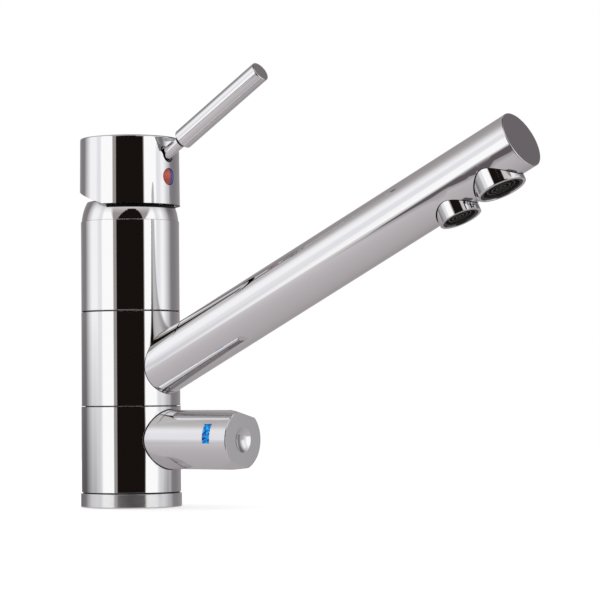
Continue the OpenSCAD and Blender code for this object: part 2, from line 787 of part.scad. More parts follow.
// Spout
module spout_barrel() {
    ledge = slide_h - seam + fit;
    color("silver") difference() {
        at_z(barrel_z) cylinder(r = barrel_r, h = barrel_h);
        at_z(barrel_z - cut) cylinder(r = barrel_bore_r, h = barrel_h + 2 * cut);
        at_z(barrel_z - cut) cylinder(r = barrel_bore_r + slide_w + fit, h = ledge + cut);
        at_z(barrel_top - ledge) cylinder(r = barrel_bore_r + slide_w + fit, h = ledge + cut);
        spout_frame() translate([filter_tube_drop, 0, 0]) cylinder(d = filter_tube_d + 2 * fit, h = body_d);
        spout_frame() translate([-mixed_hole_rise, 0, 0]) cylinder(d = mixed_hole_d, h = body_d);
    }
}

// The cone of the spout, inset by the given amount
module spout_cone(inset, end) {
    spout_frame() cylinder(r1 = spout_r - inset, r2 = spout_r - inset - spout_taper * end, h = end);
}

// The open joint round an outlet, half as deep as the spout's wall
module outlet_joint(s, d) {
    difference() {
        outlet_frame(s) cylinder(d = d + 2 * joint_w, h = spout_d);
        spout_cone(spout_wall / 2, spout_l);
    }
}

module spout_tube() {
    color("silver") difference() {
        spout_cone(0, spout_l - end_cap_t);
        spout_cone(spout_wall, spout_l);
        cylinder(r = barrel_r + fit / 5, h = 2 * spout_l, center = true);
        outlet_frame(main_s) cylinder(d = main_d + 2 * fit, h = spout_d);
        outlet_frame(filter_s) cylinder(d = filter_d + 2 * fit, h = spout_d);
        outlet_joint(main_s, main_d);
        outlet_joint(filter_s, filter_d);
    }
}

module spout_end_cap() {
    spigot_r = spout_tip_r - spout_wall - fit;
    color("silver") spout_frame() difference() {
        at_z(spout_l - end_cap_t) turned([[0, 0], [spigot_r - cap_spigot_wall, 0],
            [spigot_r - cap_spigot_wall, -cap_spigot_l], [spigot_r, -cap_spigot_l], [spigot_r, 0],
            [spout_tip_r, 0], [spout_tip_r, end_cap_t - end_chamfer],
            [spout_tip_r - end_chamfer, end_cap_t], [0, end_cap_t]]);
        translate([main_reach, 0, main_s]) rotate([0, 90, 0])
            cylinder(d = main_d + 2 * fit + play, h = 2 * main_reach, center = true);
    }
}

module filter_tube() {
    tube_end = filter_s - filter_bore_d / 2;
    color("gainsboro") difference() {
        spout_frame() translate([filter_tube_drop, 0, 0]) cylinder(d = filter_tube_d, h = tube_end);
        spout_frame() translate([filter_tube_drop, 0, -cut])
            cylinder(d = filter_tube_d - 2 * filter_tube_wall, h = tube_end + 2 * cut);
        cylinder(r = barrel_bore_r, h = 2 * spout_l, center = true);
    }
}

// A collar through the spout's underside: outer and inner diameter, from head to reach
module collar(d, bore_d, head, reach) {
    difference() {
        at_z(head) cylinder(d = d, h = reach - head);
        at_z(head - cut) cylinder(d = bore_d, h = reach - head + 2 * cut);
    }
}

module main_collar() {
    color("silver") outlet_frame(main_s) collar(main_d, main_bore_d, main_head, main_reach);
}

module filter_collar() {
    color("silver") difference() {
        outlet_frame(filter_s) at_z(filter_head - outlet_wall)
            cylinder(d = filter_d, h = filter_reach - filter_head + outlet_wall);
        outlet_frame(filter_s) at_z(filter_head) cylinder(d = filter_bore_d, h = filter_reach);
        spout_frame() translate([filter_tube_drop, 0, 0]) cylinder(d = filter_tube_d + 2 * fit, h = filter_s);
    }
}

module outlet_seal(bore_d) { pipe(bore_d / 2 - fit, bore_d / 2 - 2 * outlet_wall, outlet_seal_t); }

// Perforated disc: rings of holes round a centre hole
module restrictor(bore_d) {
    r_out = bore_d / 2 - fit;
    rings = 2;
    color("whitesmoke") difference() {
        cylinder(r = r_out, h = restrictor_t);
        for (k = [1 : rings]) for (i = [0 : 6 * k - 1]) rotate([0, 0, i * 60 / k])
            translate([k * (r_out - 3 * outlet_wall) / rings, 0, -cut])
            cylinder(d = restrictor_hole_d, h = restrictor_t + 2 * cut);
    }
}

// Aerator: a cup wall with concentric rings and straight ribs
module aerator(bore_d) {
    r_out = bore_d / 2 - fit;
    wall = 2 * aerator_rib;
    step = (r_out - wall) / 4;
    color("black") {
        pipe(r_out, r_out - wall, aerator_h);
        for (k = [1 : 3])
            pipe(k * step + aerator_rib / 2, k * step - aerator_rib / 2, aerator_h - aerator_rib);
        cylinder(r = aerator_rib, h = aerator_h - aerator_rib);
        for (i = [0 : aerator_ribs - 1]) rotate([0, 0, i * 360 / aerator_ribs])
            translate([0, -aerator_rib / 2, 0]) cube([r_out - wall / 2, aerator_rib, aerator_h / 2]);
    }
}

module outlet_stack(s, bore_d, reach, level) {
    z_aerator = reach - aerator_inset - aerator_h;
    z_restrictor = z_aerator - restrictor_t;
    z_seal = z_restrictor - outlet_seal_t;
    outlet_frame(s) at_z(level == 0 ? z_aerator : level == 1 ? z_restrictor : z_seal) children();
}

module main_aerator() { outlet_stack(main_s, main_bore_d, main_reach, 0) aerator(main_bore_d); }

module main_restrictor() { outlet_stack(main_s, main_bore_d, main_reach, 1) restrictor(main_bore_d); }

module main_seal() {
    color("dimgray") outlet_stack(main_s, main_bore_d, main_reach, 2) outlet_seal(main_bore_d);
}

module filter_aerator() { outlet_stack(filter_s, filter_bore_d, filter_reach, 0) aerator(filter_bore_d); }

module filter_restrictor() {
    outlet_stack(filter_s, filter_bore_d, filter_reach, 1) restrictor(filter_bore_d);
}

module filter_collar_seal() {
    color("dimgray") outlet_stack(filter_s, filter_bore_d, filter_reach, 2) outlet_seal(filter_bore_d);
}

// Filter valve
module filter_valve_body() {
    length = nose_end_x - valve_floor_x;
    color("goldenrod") difference() {
        union() {
            knob_frame(valve_floor_x) cylinder(d = headwork_d, h = headwork_l + flange_t / 2);
            knob_frame(knob_seat_x) cylinder(d = flange_d, h = flange_t, $fn = 6);
            knob_frame(knob_seat_x) cylinder(d = nose_d, h = flange_t + nose_l);
        }
        knob_frame(valve_floor_x - cut)
            cylinder(d = small_disc_d + 2 * fit, h = spindle_step_x - valve_floor_x + cut + play);
        knob_frame(valve_floor_x) cylinder(d = spindle_d + 2 * fit, h = length + cut);
        translate([window_x, -window_w / 2, knob_z - headwork_d])
            cube([window_l, window_w, 2 * headwork_d]);
        knob_frame(knob_seat_x - 3 * valve_ring_t)
            pipe(headwork_d, headwork_d / 2 - valve_ring_t, valve_ring_t + 2 * play);
    }
}

module filter_valve_seal() {
    ring_x = knob_seat_x - 3 * valve_ring_t + valve_ring_t / 2 + play;
    color("black") knob_frame(ring_x) o_ring(headwork_d / 2, valve_ring_t);
}

module filter_seat_ring() {
    color("black") knob_frame(valve_floor_x)
        pipe(small_disc_d / 2, seat_bore_d / 2, disc_x - valve_floor_x);
}

module small_disc(x) {
    knob_frame(x) difference() {
        cylinder(d = small_disc_d, h = small_disc_t);
        for (side = [-1, 1]) translate([0, side * small_port_r, -cut])
            cylinder(d = small_port_d, h = small_disc_t + 2 * cut);
    }
}

module filter_fixed_disc() { color("white") small_disc(disc_x); }

module filter_moving_disc() { color("white") rotate_about_knob(90) small_disc(moving_x); }

module rotate_about_knob(a) { at_z(knob_z) rotate([a, 0, 0]) at_z(-knob_z) children(); }

module filter_spindle() {
    color("gray") difference() {
        union() {
            intersection() {
                knob_frame(foot_x) cylinder(d = small_disc_d - play, h = foot_t);
                knob_frame(foot_x) block(foot_w, small_disc_d, foot_t);
            }
            knob_frame(foot_x) cylinder(d = foot_w, h = 2 * foot_t);
            knob_frame(spindle_step_x) cylinder(d = spindle_d, h = spindle_end_x - spindle_step_x);
        }
        for (i = [0 : spline_teeth - 1]) knob_frame(spline_x) rotate([0, 0, i * 360 / spline_teeth])
            translate([spindle_d / 2 - spline_depth, -spline_depth, 0])
                cube([spindle_d, 2 * spline_depth, spline_l + cut]);
        knob_frame(nose_end_x + play) pipe(spindle_d, spindle_d / 2 - clip_groove, clip_t + play);
        knob_frame(spindle_ring_x - spindle_ring_t / 2 - play)
            pipe(spindle_d, spindle_d / 2 - spindle_ring_t, spindle_ring_t + 2 * play);
    }
}

module spindle_seal() { color("black") knob_frame(spindle_ring_x) o_ring(spindle_d / 2, spindle_ring_t); }

module spindle_clip() {
    color("gray") knob_frame(nose_end_x + 1.5 * play) difference() {
        pipe(spindle_d / 2 + clip_w, spindle_d / 2 - clip_groove + fit, clip_t);
        translate([0, -clip_w / 2, -cut]) cube([spindle_d, clip_w, clip_t + 2 * cut]);
    }
}

module filter_knob_insert() {
    color("whitesmoke") knob_frame(insert_x) difference() {
        cylinder(r = knob_tip_r - knob_wall - fit, h = insert_l);
        at_z(-cut) cylinder(d = spindle_d + 2 * fit, h = spindle_end_x - insert_x + cut + seam);
    }
}

// A finger flat that starts at the knob's end and runs out along it
module finger_flat(side) {
    knob_frame(knob_reach) rotate([0, 0, -flat_turn]) rotate([0, 0, side > 0 ? 0 : 180])
        translate([-knob_tip_r + flat_depth, -knob_d, 0]) rotate([0, atan(flat_depth / flat_run), 0])
        translate([-knob_d, 0, -3 * flat_run]) cube([knob_d, 2 * knob_d, 4 * flat_run]);
}

module filter_knob() {
    length = knob_reach - knob_start_x;
    dish_r = (pow(dimple_d / 2, 2) + pow(dimple_depth, 2)) / (2 * dimple_depth);
    color("silver") difference() {
        knob_frame(knob_start_x) turned([[0, 0], [knob_r, 0], [knob_tip_r, length - knob_chamfer],
            [knob_tip_r - knob_chamfer, length], [0, length]]);
        knob_frame(knob_start_x - cut) cylinder(r = knob_tip_r - knob_wall, h = length - knob_end_t + cut);
        knob_frame(knob_reach - dimple_depth + dish_r) sphere(r = dish_r);
        for (side = [-1, 1]) finger_flat(side);
        mark_space(fit);
    }
}

// The shallow recess of the blue mark, or the mark itself with no clearance
module mark_space(gap) {
    mark_r = knob_r - mark_t;
    intersection() {
        knob_frame(mark_x - mark_w / 2 - gap) pipe(knob_d, mark_r - gap, mark_w + 2 * gap);
        rotate_about_knob(-mark_lift) knob_frame(mark_x) rotate([0, 0, -90])
            wedge(mark_angle + 2 * gap, knob_d, 2 * mark_w);
    }
}

// A wedge round +X of the local frame
module wedge(angle, r, h) {
    at_z(-h / 2) linear_extrude(h) polygon([[0, 0],
        [r * cos(angle / 2), -r * sin(angle / 2)],
        [r / cos(angle / 4), 0],
        [r * cos(angle / 2), r * sin(angle / 2)]]);
}

module filter_mark() {
    color("dodgerblue") intersection() {
        mark_space(0);
        knob_frame(0) cylinder(r = knob_tip_r + mark_proud, h = knob_reach);
    }
}

base_ring();
base_gasket();
valve_body();
lower_slide_ring();
upper_slide_ring();
barrel_seals();
upper_body();
dome_cover();
cartridge_nut();
cartridge_housing();
cartridge_base();
cartridge_seals();
fixed_disc();
filter_valve_body();
filter_valve_seal();
filter_seat_ring();
filter_fixed_disc();
spout_barrel();
spout_tube();
spout_end_cap();
filter_tube();
main_collar();
main_seal();
main_restrictor();
main_aerator();
filter_collar();
filter_collar_seal();
filter_restrictor();
filter_aerator();
cartridge_carrier();
pivot_pin();
moving_disc();
disc_driver();
lever_stem();
lever_cap();
lever_neck();
lever_grip();
cap_grub_screw();
hot_mark();
cold_mark();
filter_knob();
filter_knob_insert();
filter_spindle();
filter_moving_disc();
filter_mark();
spindle_seal();
spindle_clip();
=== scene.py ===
"""Looks of a three way filtered water tap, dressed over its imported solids.

The solids come in as a fixed frame. The turned pieces that show are made again here with
finer rounded edges, every other solid keeps its shape and gets a real finish, and the studio
of the photograph stands round it: a dark screen behind the camera with white panels on either
side, grey walls at the back, a dark ceiling and a white floor. Only mirrors show the room, and a
pale table below the floor.
"""

import json
import logging
import math
from dataclasses import dataclass
from enum import Enum
from typing import Any, Optional, Sequence

import bmesh
import bpy
from mathutils import Matrix, Vector

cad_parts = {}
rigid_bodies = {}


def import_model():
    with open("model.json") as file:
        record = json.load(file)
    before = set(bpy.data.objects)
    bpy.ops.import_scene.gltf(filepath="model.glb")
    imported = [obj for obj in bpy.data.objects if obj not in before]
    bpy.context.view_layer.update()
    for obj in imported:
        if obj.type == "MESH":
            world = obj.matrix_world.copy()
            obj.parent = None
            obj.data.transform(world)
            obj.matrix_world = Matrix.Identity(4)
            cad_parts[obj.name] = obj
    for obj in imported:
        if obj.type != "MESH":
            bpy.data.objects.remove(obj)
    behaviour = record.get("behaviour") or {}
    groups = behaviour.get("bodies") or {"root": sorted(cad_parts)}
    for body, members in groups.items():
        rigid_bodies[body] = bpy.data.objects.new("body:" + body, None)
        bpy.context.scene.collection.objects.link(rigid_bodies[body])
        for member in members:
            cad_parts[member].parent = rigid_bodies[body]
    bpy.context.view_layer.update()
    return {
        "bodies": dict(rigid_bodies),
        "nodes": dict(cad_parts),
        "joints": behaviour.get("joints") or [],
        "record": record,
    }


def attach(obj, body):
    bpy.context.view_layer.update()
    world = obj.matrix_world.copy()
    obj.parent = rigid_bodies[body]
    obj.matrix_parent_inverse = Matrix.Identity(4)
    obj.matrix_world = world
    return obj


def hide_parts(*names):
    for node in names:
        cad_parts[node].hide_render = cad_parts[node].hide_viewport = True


log = logging.getLogger("water_tap")

Socket = bpy.types.NodeSocket
Tree = bpy.types.NodeTree
Angles = dict[str, bpy.types.Node]
Pair = tuple[float, float]
Triple = tuple[float, float, float]

MM = 0.001
FULL_TURN = 2 * math.pi


class Axis(Enum):
    """The straight lines that the turned pieces are built on: a height in millimetres and a lean."""

    COLUMN = (0.0, 0.0)
    SPOUT = (60.2, 64.3)
    LEVER = (161.3, 57.9)
    KNOB = (33.6, 90.0)

    @property
    def matrix(self) -> Matrix:
        """Matrix from the line's own frame, whose Z runs along it, to the row frame, in mm."""
        height, lean = self.value
        return Matrix.Translation((0, 0, height)) @ Matrix.Rotation(math.radians(lean), 4, "Y")


class Turn(Enum):
    """How round a turned piece is cut: the number of steps in a full turn."""

    SMALL = 72
    LARGE = 160


def linear(code: str) -> tuple[float, float, float, float]:
    """Turn an sRGB hex colour into the linear colour that shaders take.

    Args:
        code: Six hex digits with a leading hash.

    Returns:
        Red, green, blue and a full alpha.
    """
    parts = [int(code[i : i + 2], 16) / 255 for i in (1, 3, 5)]
    return (*[p / 12.92 if p <= 0.04045 else ((p + 0.055) / 1.055) ** 2.4 for p in parts], 1.0)


def cleared(owner: bpy.types.ID) -> Tree:
    """Give a material or a world an empty node tree."""
    owner.use_nodes = True
    owner.node_tree.nodes.clear()
    return owner.node_tree


def add_node(tree: Tree, kind: str, inputs: Optional[dict] = None, **settings: Any) -> bpy.types.Node:
    """Add one node with its settings, and with a value or a link for each input named.

    Args:
        tree: Node tree that gets the node.
        kind: Node type, without the ShaderNode prefix.
        inputs: Values, output sockets or nodes by input name or index. A node stands for its
            first output.
        **settings: Attributes of the node itself.

    Returns:
        The new node.
    """
    node = tree.nodes.new("ShaderNode" + kind)
    for name, value in settings.items():
        setattr(node, name, value)
    for key, value in (inputs or {}).items():
        value = value.outputs[0] if isinstance(value, bpy.types.Node) else value
        if isinstance(value, Socket):
            tree.links.new(value, node.inputs[key])
        else:
            node.inputs[key].default_value = value
    return node


def fill_ramp(node: bpy.types.Node, stops: Sequence[tuple[float, str]]) -> bpy.types.Node:
    """Give a colour ramp its stops.

    Args:
        node: The ramp node.
        stops: Place from 0 to 1 and sRGB hex colour of each stop, in rising order.

    Returns:
        The same node.
    """
    ramp = node.color_ramp
    while len(ramp.elements) > 1:
        ramp.elements.remove(ramp.elements[-1])
    ramp.elements[0].position, ramp.elements[0].color = stops[0][0], linear(stops[0][1])
    for place, code in stops[1:]:
        ramp.elements.new(place).color = linear(code)
    return node


@dataclass(frozen=True)
class Finish:
    """What every finish has: a name, and a material made from a Principled shader."""

    name: str

    def shader_inputs(self, tree: Tree, place: Socket) -> dict:
        """Inputs of the Principled shader.

        Args:
            tree: The material's node tree.
            place: Object coordinates in metres.

        Returns:
            Values and sockets by input name.
        """
        raise NotImplementedError

    def material(self) -> bpy.types.Material:
        """Build the material once, and hand out the same one after that."""
        made = bpy.data.materials.get(self.name)
        if made:
            return made
        made = bpy.data.materials.new(self.name)
        tree = cleared(made)
        place = add_node(tree, "TexCoord").outputs["Object"]
        shader = add_node(tree, "BsdfPrincipled", self.shader_inputs(tree, place))
        add_node(tree, "OutputMaterial", {"Surface": shader.outputs["BSDF"]})
        return made


@dataclass(frozen=True)
class ChromePlate(Finish):
    """Bright nickel and chrome electroplated on polished brass.

    A cool mirror. Buffing leaves long shallow waves that bend a reflection a little, and a
    faint haze that comes and goes over a few millimetres.
    """

    color: str = "#E8E8E9"
    roughness: float = 0.02
    haze: float = 0.03
    wave_mm: float = 9.0
    wave_depth_mm: float = 0.0012
    edge_mm: float = 0.3
    brushed: float = 0.0

    def shader_inputs(self, tree: Tree, place: Socket) -> dict:
        """Inputs of the Principled shader. See Finish."""
        haze = add_node(tree, "TexNoise", {"Vector": place, "Scale": 1 / (4 * MM), "Detail": 3.0})
        rough = add_node(
            tree,
            "MapRange",
            {"Value": haze.outputs["Fac"], "From Min": 0.45, "From Max": 0.75, "To Min": self.roughness,
             "To Max": self.roughness + self.haze},
        )
        wave = add_node(tree, "TexNoise", {"Vector": place, "Scale": 1 / (self.wave_mm * MM), "Detail": 1.0})
        edge = add_node(tree, "Bevel", {"Radius": self.edge_mm * MM}, samples=4)
        bump = add_node(
            tree,
            "Bump",
            {"Height": wave.outputs["Fac"], "Distance": self.wave_depth_mm * MM, "Strength": 1.0,
             "Normal": edge.outputs["Normal"]},
        )
        inputs = {
            "Base Color": linear(self.color),
            "Metallic": 1.0,
            "Roughness": rough.outputs["Result"],
            "Normal": bump.outputs["Normal"],
        }
        if self.brushed:
            # fine lines round the piece spread each reflection up and down
            around = add_node(tree, "Tangent", direction_type="RADIAL", axis="Z")
            inputs |= {
                "Anisotropic": self.brushed,
                "Anisotropic Rotation": 0.25,
                "Tangent": around.outputs["Tangent"],
            }
        return inputs


@dataclass(frozen=True)
class Joint:
    """An open joint with painted shade: all that lies within a radius of a line, between two heights along
    it, in mm.
    """

    axis: Axis
    low: float
    high: float
    radius: float
    along: float = 0.0
    crosswise: bool = False

    @property
    def frame(self) -> Matrix:
        """Matrix from the joint's own frame, whose Z is its line, to the row frame, in mm."""
        side = Matrix.Rotation(math.radians(90), 4, "Y") if self.crosswise else Matrix.Identity(4)
        return self.axis.matrix @ Matrix.Translation((0, 0, self.along)) @ side


@dataclass(frozen=True)
class JointShadedChrome(ChromePlate):
    """Chrome plate with painted shade, a near black colour, in its open joints where the plate ends.

    Each joint reads as a thin dark line between two bright edges.
    """

    joints: tuple[Joint, ...] = ()
    # near black colour painted into the joints as the shade of their gaps
    stain: str = "#1B1918"

    def shader_inputs(self, tree: Tree, place: Socket) -> dict:
        """Inputs of the Principled shader. See Finish."""
        inputs = super().shader_inputs(tree, place)
        painted_shade_mask = None
        for joint in self.joints:
            line = (joint.frame.to_3x3() @ Vector((0, 0, 1))).normalized()
            arm = add_node(
                tree, "VectorMath", {0: place, 1: joint.frame.translation * MM}, operation="SUBTRACT"
            ).outputs["Vector"]
            height = add_node(tree, "VectorMath", {0: arm, 1: line}, operation="DOT_PRODUCT").outputs["Value"]
            cross = add_node(tree, "VectorMath", {0: arm, 1: line}, operation="CROSS_PRODUCT")
            away = add_node(
                tree, "VectorMath", {0: cross.outputs["Vector"]}, operation="LENGTH"
            ).outputs["Value"]
            middle, half = (joint.low + joint.high) / 2 * MM, (joint.high - joint.low) / 2 * MM
            level = add_node(tree, "Math", {0: height, 1: middle, 2: half}, operation="COMPARE").outputs[0]
            inside = add_node(tree, "Math", {0: away, 1: joint.radius * MM}, operation="LESS_THAN").outputs[0]
            here = add_node(tree, "Math", {0: level, 1: inside}, operation="MULTIPLY").outputs[0]
            either = {0: painted_shade_mask, 1: here}
            painted_shade_mask = add_node(tree, "Math", either, operation="MAXIMUM").outputs[0] if painted_shade_mask else here
        # painted shade: inside the joints the plate takes the near black colour and a rougher shine
        tint = add_node(
            tree, "Mix", {"Factor": painted_shade_mask, "A": linear(self.color), "B": linear(self.stain)}, data_type="RGBA"
        )
        rough = add_node(tree, "Math", {0: painted_shade_mask, 1: 0.4, 2: inputs["Roughness"]}, operation="MULTIPLY_ADD")
        return inputs | {"Base Color": tint.outputs["Result"], "Roughness": rough}


@dataclass(frozen=True)
class TurnedMetal(Finish):
    """Brass or stainless steel straight off the lathe: fine rings across a dull shine."""

    color: str = "#C9A45C"
    roughness: float = 0.28
    groove_mm: float = 0.25

    def shader_inputs(self, tree: Tree, place: Socket) -> dict:
        """Inputs of the Principled shader. See Finish."""
        rings = add_node(
            tree,
            "TexWave",
            {"Vector": place, "Scale": 0.5 / (self.groove_mm * MM * 10), "Distortion": 0.4},
            wave_type="BANDS",
            bands_direction="Z",
        )
        stain = add_node(tree, "TexNoise", {"Vector": place, "Scale": 1 / (6 * MM), "Detail": 4.0})
        rough = add_node(
            tree,
            "MapRange",
            {"Value": stain.outputs["Fac"], "To Min": self.roughness - 0.08, "To Max": self.roughness + 0.12},
        )
        bump = add_node(
            tree, "Bump", {"Height": rings.outputs["Fac"], "Distance": 0.01 * MM, "Strength": 0.6}
        )
        return {
            "Base Color": linear(self.color),
            "Metallic": 1.0,
            "Roughness": rough.outputs["Result"],
            "Normal": bump.outputs["Normal"],
        }


@dataclass(frozen=True)
class MouldedPlastic(Finish):
    """Injection moulded acetal or ABS: a fine spark eroded grain that softens the shine."""

    color: str = "#E4E4E0"
    shade: str = "#D8D8D4"
    roughness: float = 0.42
    grain_mm: float = 0.35
    grain_depth_mm: float = 0.004
    specular: float = 0.5

    def shader_inputs(self, tree: Tree, place: Socket) -> dict:
        """Inputs of the Principled shader. See Finish."""
        cloud = add_node(tree, "TexNoise", {"Vector": place, "Scale": 1 / (5 * MM), "Detail": 3.0})
        tones = ((0.35, self.shade), (0.65, self.color))
        tint = fill_ramp(add_node(tree, "ValToRGB", {"Fac": cloud.outputs["Fac"]}), tones)
        scale = 1 / (self.grain_mm * MM)
        grain = add_node(tree, "TexNoise", {"Vector": place, "Scale": scale, "Detail": 2.0})
        bump = add_node(
            tree,
            "Bump",
            {"Height": grain.outputs["Fac"], "Distance": self.grain_depth_mm * MM, "Strength": 0.7},
        )
        return {
            "Base Color": tint.outputs["Color"],
            "Roughness": self.roughness,
            "IOR": 1.48,
            "Specular IOR Level": self.specular,
            "Normal": bump.outputs["Normal"],
        }


@dataclass(frozen=True)
class LappedCeramic(Finish):
    """Alumina discs lapped flat for sealing: off white, with a faint speckle and a silky shine."""

    color: str = "#EFEDE6"
    fleck: str = "#D9D5CA"

    def shader_inputs(self, tree: Tree, place: Socket) -> dict:
        """Inputs of the Principled shader. See Finish."""
        speck = add_node(tree, "TexNoise", {"Vector": place, "Scale": 1 / (0.6 * MM), "Detail": 2.0})
        tint = fill_ramp(
            add_node(tree, "ValToRGB", {"Fac": speck.outputs["Fac"]}), ((0.3, self.fleck), (0.5, self.color))
        )
        return {"Base Color": tint.outputs["Color"], "Roughness": 0.18, "IOR": 1.76}


@dataclass(frozen=True)
class Enamel(Finish):
    """Colour filled inlay under a clear gloss: the pigment is cloudy, the top is glassy."""

    color: str = "#B8402F"
    shade: str = "#8E2E22"
    patch_mm: float = 1.4
    sharp: float = 0.12
    gloss: float = 0.6
    specular: float = 0.5

    def shader_inputs(self, tree: Tree, place: Socket) -> dict:
        """Inputs of the Principled shader. See Finish."""
        scale = 1 / (self.patch_mm * MM)
        patch = add_node(
            tree, "TexNoise", {"Vector": place, "Scale": scale, "Detail": 2.0, "Distortion": 0.6}
        )
        tint = fill_ramp(
            add_node(tree, "ValToRGB", {"Fac": patch.outputs["Fac"]}),
            ((0.5 - self.sharp, self.shade), (0.5 + self.sharp, self.color)),
        )
        return {
            "Base Color": tint.outputs["Color"],
            "Roughness": 0.3,
            "IOR": 1.5,
            "Specular IOR Level": self.specular,
            "Coat Weight": self.gloss,
            "Coat Roughness": 0.06,
        }


CHROME = ChromePlate("chrome_plate_polished")
# painted shade in the neck's groove where the grip starts
CHROME_NECK = JointShadedChrome("chrome_plate_neck", joints=(Joint(Axis.LEVER, 38.25, 40.2, 3.1),))
# painted shade in the seams of the lower column and round the knob's pocket
CHROME_LOWER = JointShadedChrome(
    "chrome_plate_lower_column",
    joints=(
        Joint(Axis.COLUMN, 6.8, 7.6, 24.8),
        Joint(Axis.COLUMN, 49.95, 50.2, 25.1),
        Joint(Axis.KNOB, 17.0, 21.5, 15.25),
    ),
)
# painted shade in the seams below and above the barrel
CHROME_BARREL = JointShadedChrome(
    "chrome_plate_barrel",
    joints=(Joint(Axis.COLUMN, 50.4, 50.65, 25.0), Joint(Axis.COLUMN, 97.35, 97.6, 25.0)),
)
# painted shade in the seam at the upper column's foot
CHROME_UPPER = JointShadedChrome("chrome_plate_upper_column", joints=(Joint(Axis.COLUMN, 97.8, 98.05, 24.9),))
CHROME_END = ChromePlate("chrome_plate_end_cap", edge_mm=0.05)
# painted shade where the tube meets the barrel and round both outlet collars
CHROME_TUBE = JointShadedChrome(
    "chrome_plate_spout_tube",
    edge_mm=0.05,
    joints=(
        Joint(Axis.COLUMN, 50.0, 98.0, 25.2),
        Joint(Axis.SPOUT, 5.0, 20.0, 12.32, along=233.8, crosswise=True),
        Joint(Axis.SPOUT, 5.0, 20.0, 10.52, along=208.8, crosswise=True),
    ),
)
# painted shadow in the gap under the lever cap's lower edge
CHROME_CAP = JointShadedChrome(
    "chrome_plate_lever_cap", edge_mm=0.12, joints=(Joint(Axis.COLUMN, 150.9, 151.05, 25.5),)
)
CHROME_RING = ChromePlate("chrome_plate_brushed_ring", roughness=0.22, haze=0.02, edge_mm=0.25, brushed=1.0)
CHROME_KNOB = ChromePlate("chrome_plate_knob", roughness=0.11, haze=0.04, edge_mm=0.35)
BRASS = TurnedMetal("brass_turned", color="#C8A25A")
STEEL = TurnedMetal("stainless_steel_turned", color="#A6A7A9", roughness=0.22)
RUBBER = MouldedPlastic(
    "nitrile_rubber_moulded", color="#17171A", shade="#101012", roughness=0.7, grain_mm=0.5
)
CERAMIC = LappedCeramic("alumina_ceramic_lapped")
ACETAL_WHITE = MouldedPlastic("acetal_white_moulded")
ACETAL_GREY = MouldedPlastic("acetal_grey_moulded", color="#C2C2BD", shade="#B4B4AF")
ACETAL_BLUE = MouldedPlastic("acetal_blue_moulded", color="#3D5C93", shade="#33507F")
TUBE_PLASTIC = MouldedPlastic("polyethylene_tube", color="#D3D7DB", shade="#C6CACE", roughness=0.3)
AERATOR_PLASTIC = MouldedPlastic(
    "abs_aerator_black", color="#3A3735", shade="#2B2927", roughness=0.45, grain_mm=0.6, specular=0.3
)
RED_ENAMEL = Enamel("enamel_red", color="#C4513D", shade="#A63F2E", sharp=0.2)
BLUE_ENAMEL = Enamel("enamel_blue", color="#4A4FA0", shade="#363B86", sharp=0.2)
KNOB_ENAMEL = Enamel(
    "enamel_knob_blue", color="#00BEFF", shade="#0A1EAE", patch_mm=1.3, sharp=0.07, gloss=0.1, specular=0.2
)


@dataclass(frozen=True)
class Corner:
    """One corner of a turned profile: radius and height in mm, and how far its edge is rounded."""

    r: float
    z: float
    round: float = 0.0


def turned(
    name: str,
    corners: Sequence[Corner],
    axis: Matrix,
    finish: Finish,
    turn: Turn = Turn.LARGE,
    segments: int = 4,
) -> bpy.types.Object:
    """Turn a profile round an axis, as on a lathe.

    Args:
        name: Name of the new object.
        corners: The half section's corners in order. The first and the last may lie on the axis.
        axis: Matrix from the profile's frame, in mm, to the row frame, in mm.
        finish: Finish of the whole piece.
        turn: How round it is cut.
        segments: Steps in each rounded edge.

    Returns:
        The object, at the origin, with its place in its mesh.
    """
    bm = bmesh.new()
    verts = [bm.verts.new((c.r, 0, c.z)) for c in corners]
    section = bm.faces.new(verts)
    by_size: dict[float, list] = {}
    for vert, corner in zip(verts, corners):
        if corner.round > 0:
            by_size.setdefault(corner.round, []).append(vert)
    for size, group in by_size.items():
        bmesh.ops.bevel(
            bm, geom=group, offset=size, offset_type="OFFSET", segments=segments, profile=0.5,
            affect="VERTICES", material=-1, clamp_overlap=True,
        )
    hold_flats(bm)
    section = bm.faces[:] if not section.is_valid else [section]
    on_axis = [e for e in bm.edges if all(abs(v.co.x) < 1e-6 for v in e.verts)]
    bmesh.ops.delete(bm, geom=section, context="FACES_ONLY")
    bmesh.ops.delete(bm, geom=[e for e in on_axis if e.is_valid], context="EDGES")
    bmesh.ops.spin(
        bm, geom=bm.verts[:] + bm.edges[:], cent=(0, 0, 0), axis=(0, 0, 1), angle=FULL_TURN, steps=turn.value,
        use_merge=True,
    )
    bmesh.ops.remove_doubles(bm, verts=bm.verts, dist=1e-5)
    bmesh.ops.recalc_face_normals(bm, faces=bm.faces)
    return finished(name, bm, axis, finish)


def hold_flats(bm: bmesh.types.BMesh, margin: float = 0.04) -> None:
    """Split long edges of a profile close to their ends, so that rounded corners don't bend the flats.

    Args:
        bm: The profile, in mm.
        margin: Distance of each split from the edge's end.
    """
    for edge in bm.edges[:]:
        length = edge.calc_length()
        if length > 10 * margin:
            first, last = edge.verts
            rest, _ = bmesh.utils.edge_split(edge, first, margin / length)
            kept = edge if last in edge.verts else rest
            bmesh.utils.edge_split(kept, last, margin / kept.calc_length())


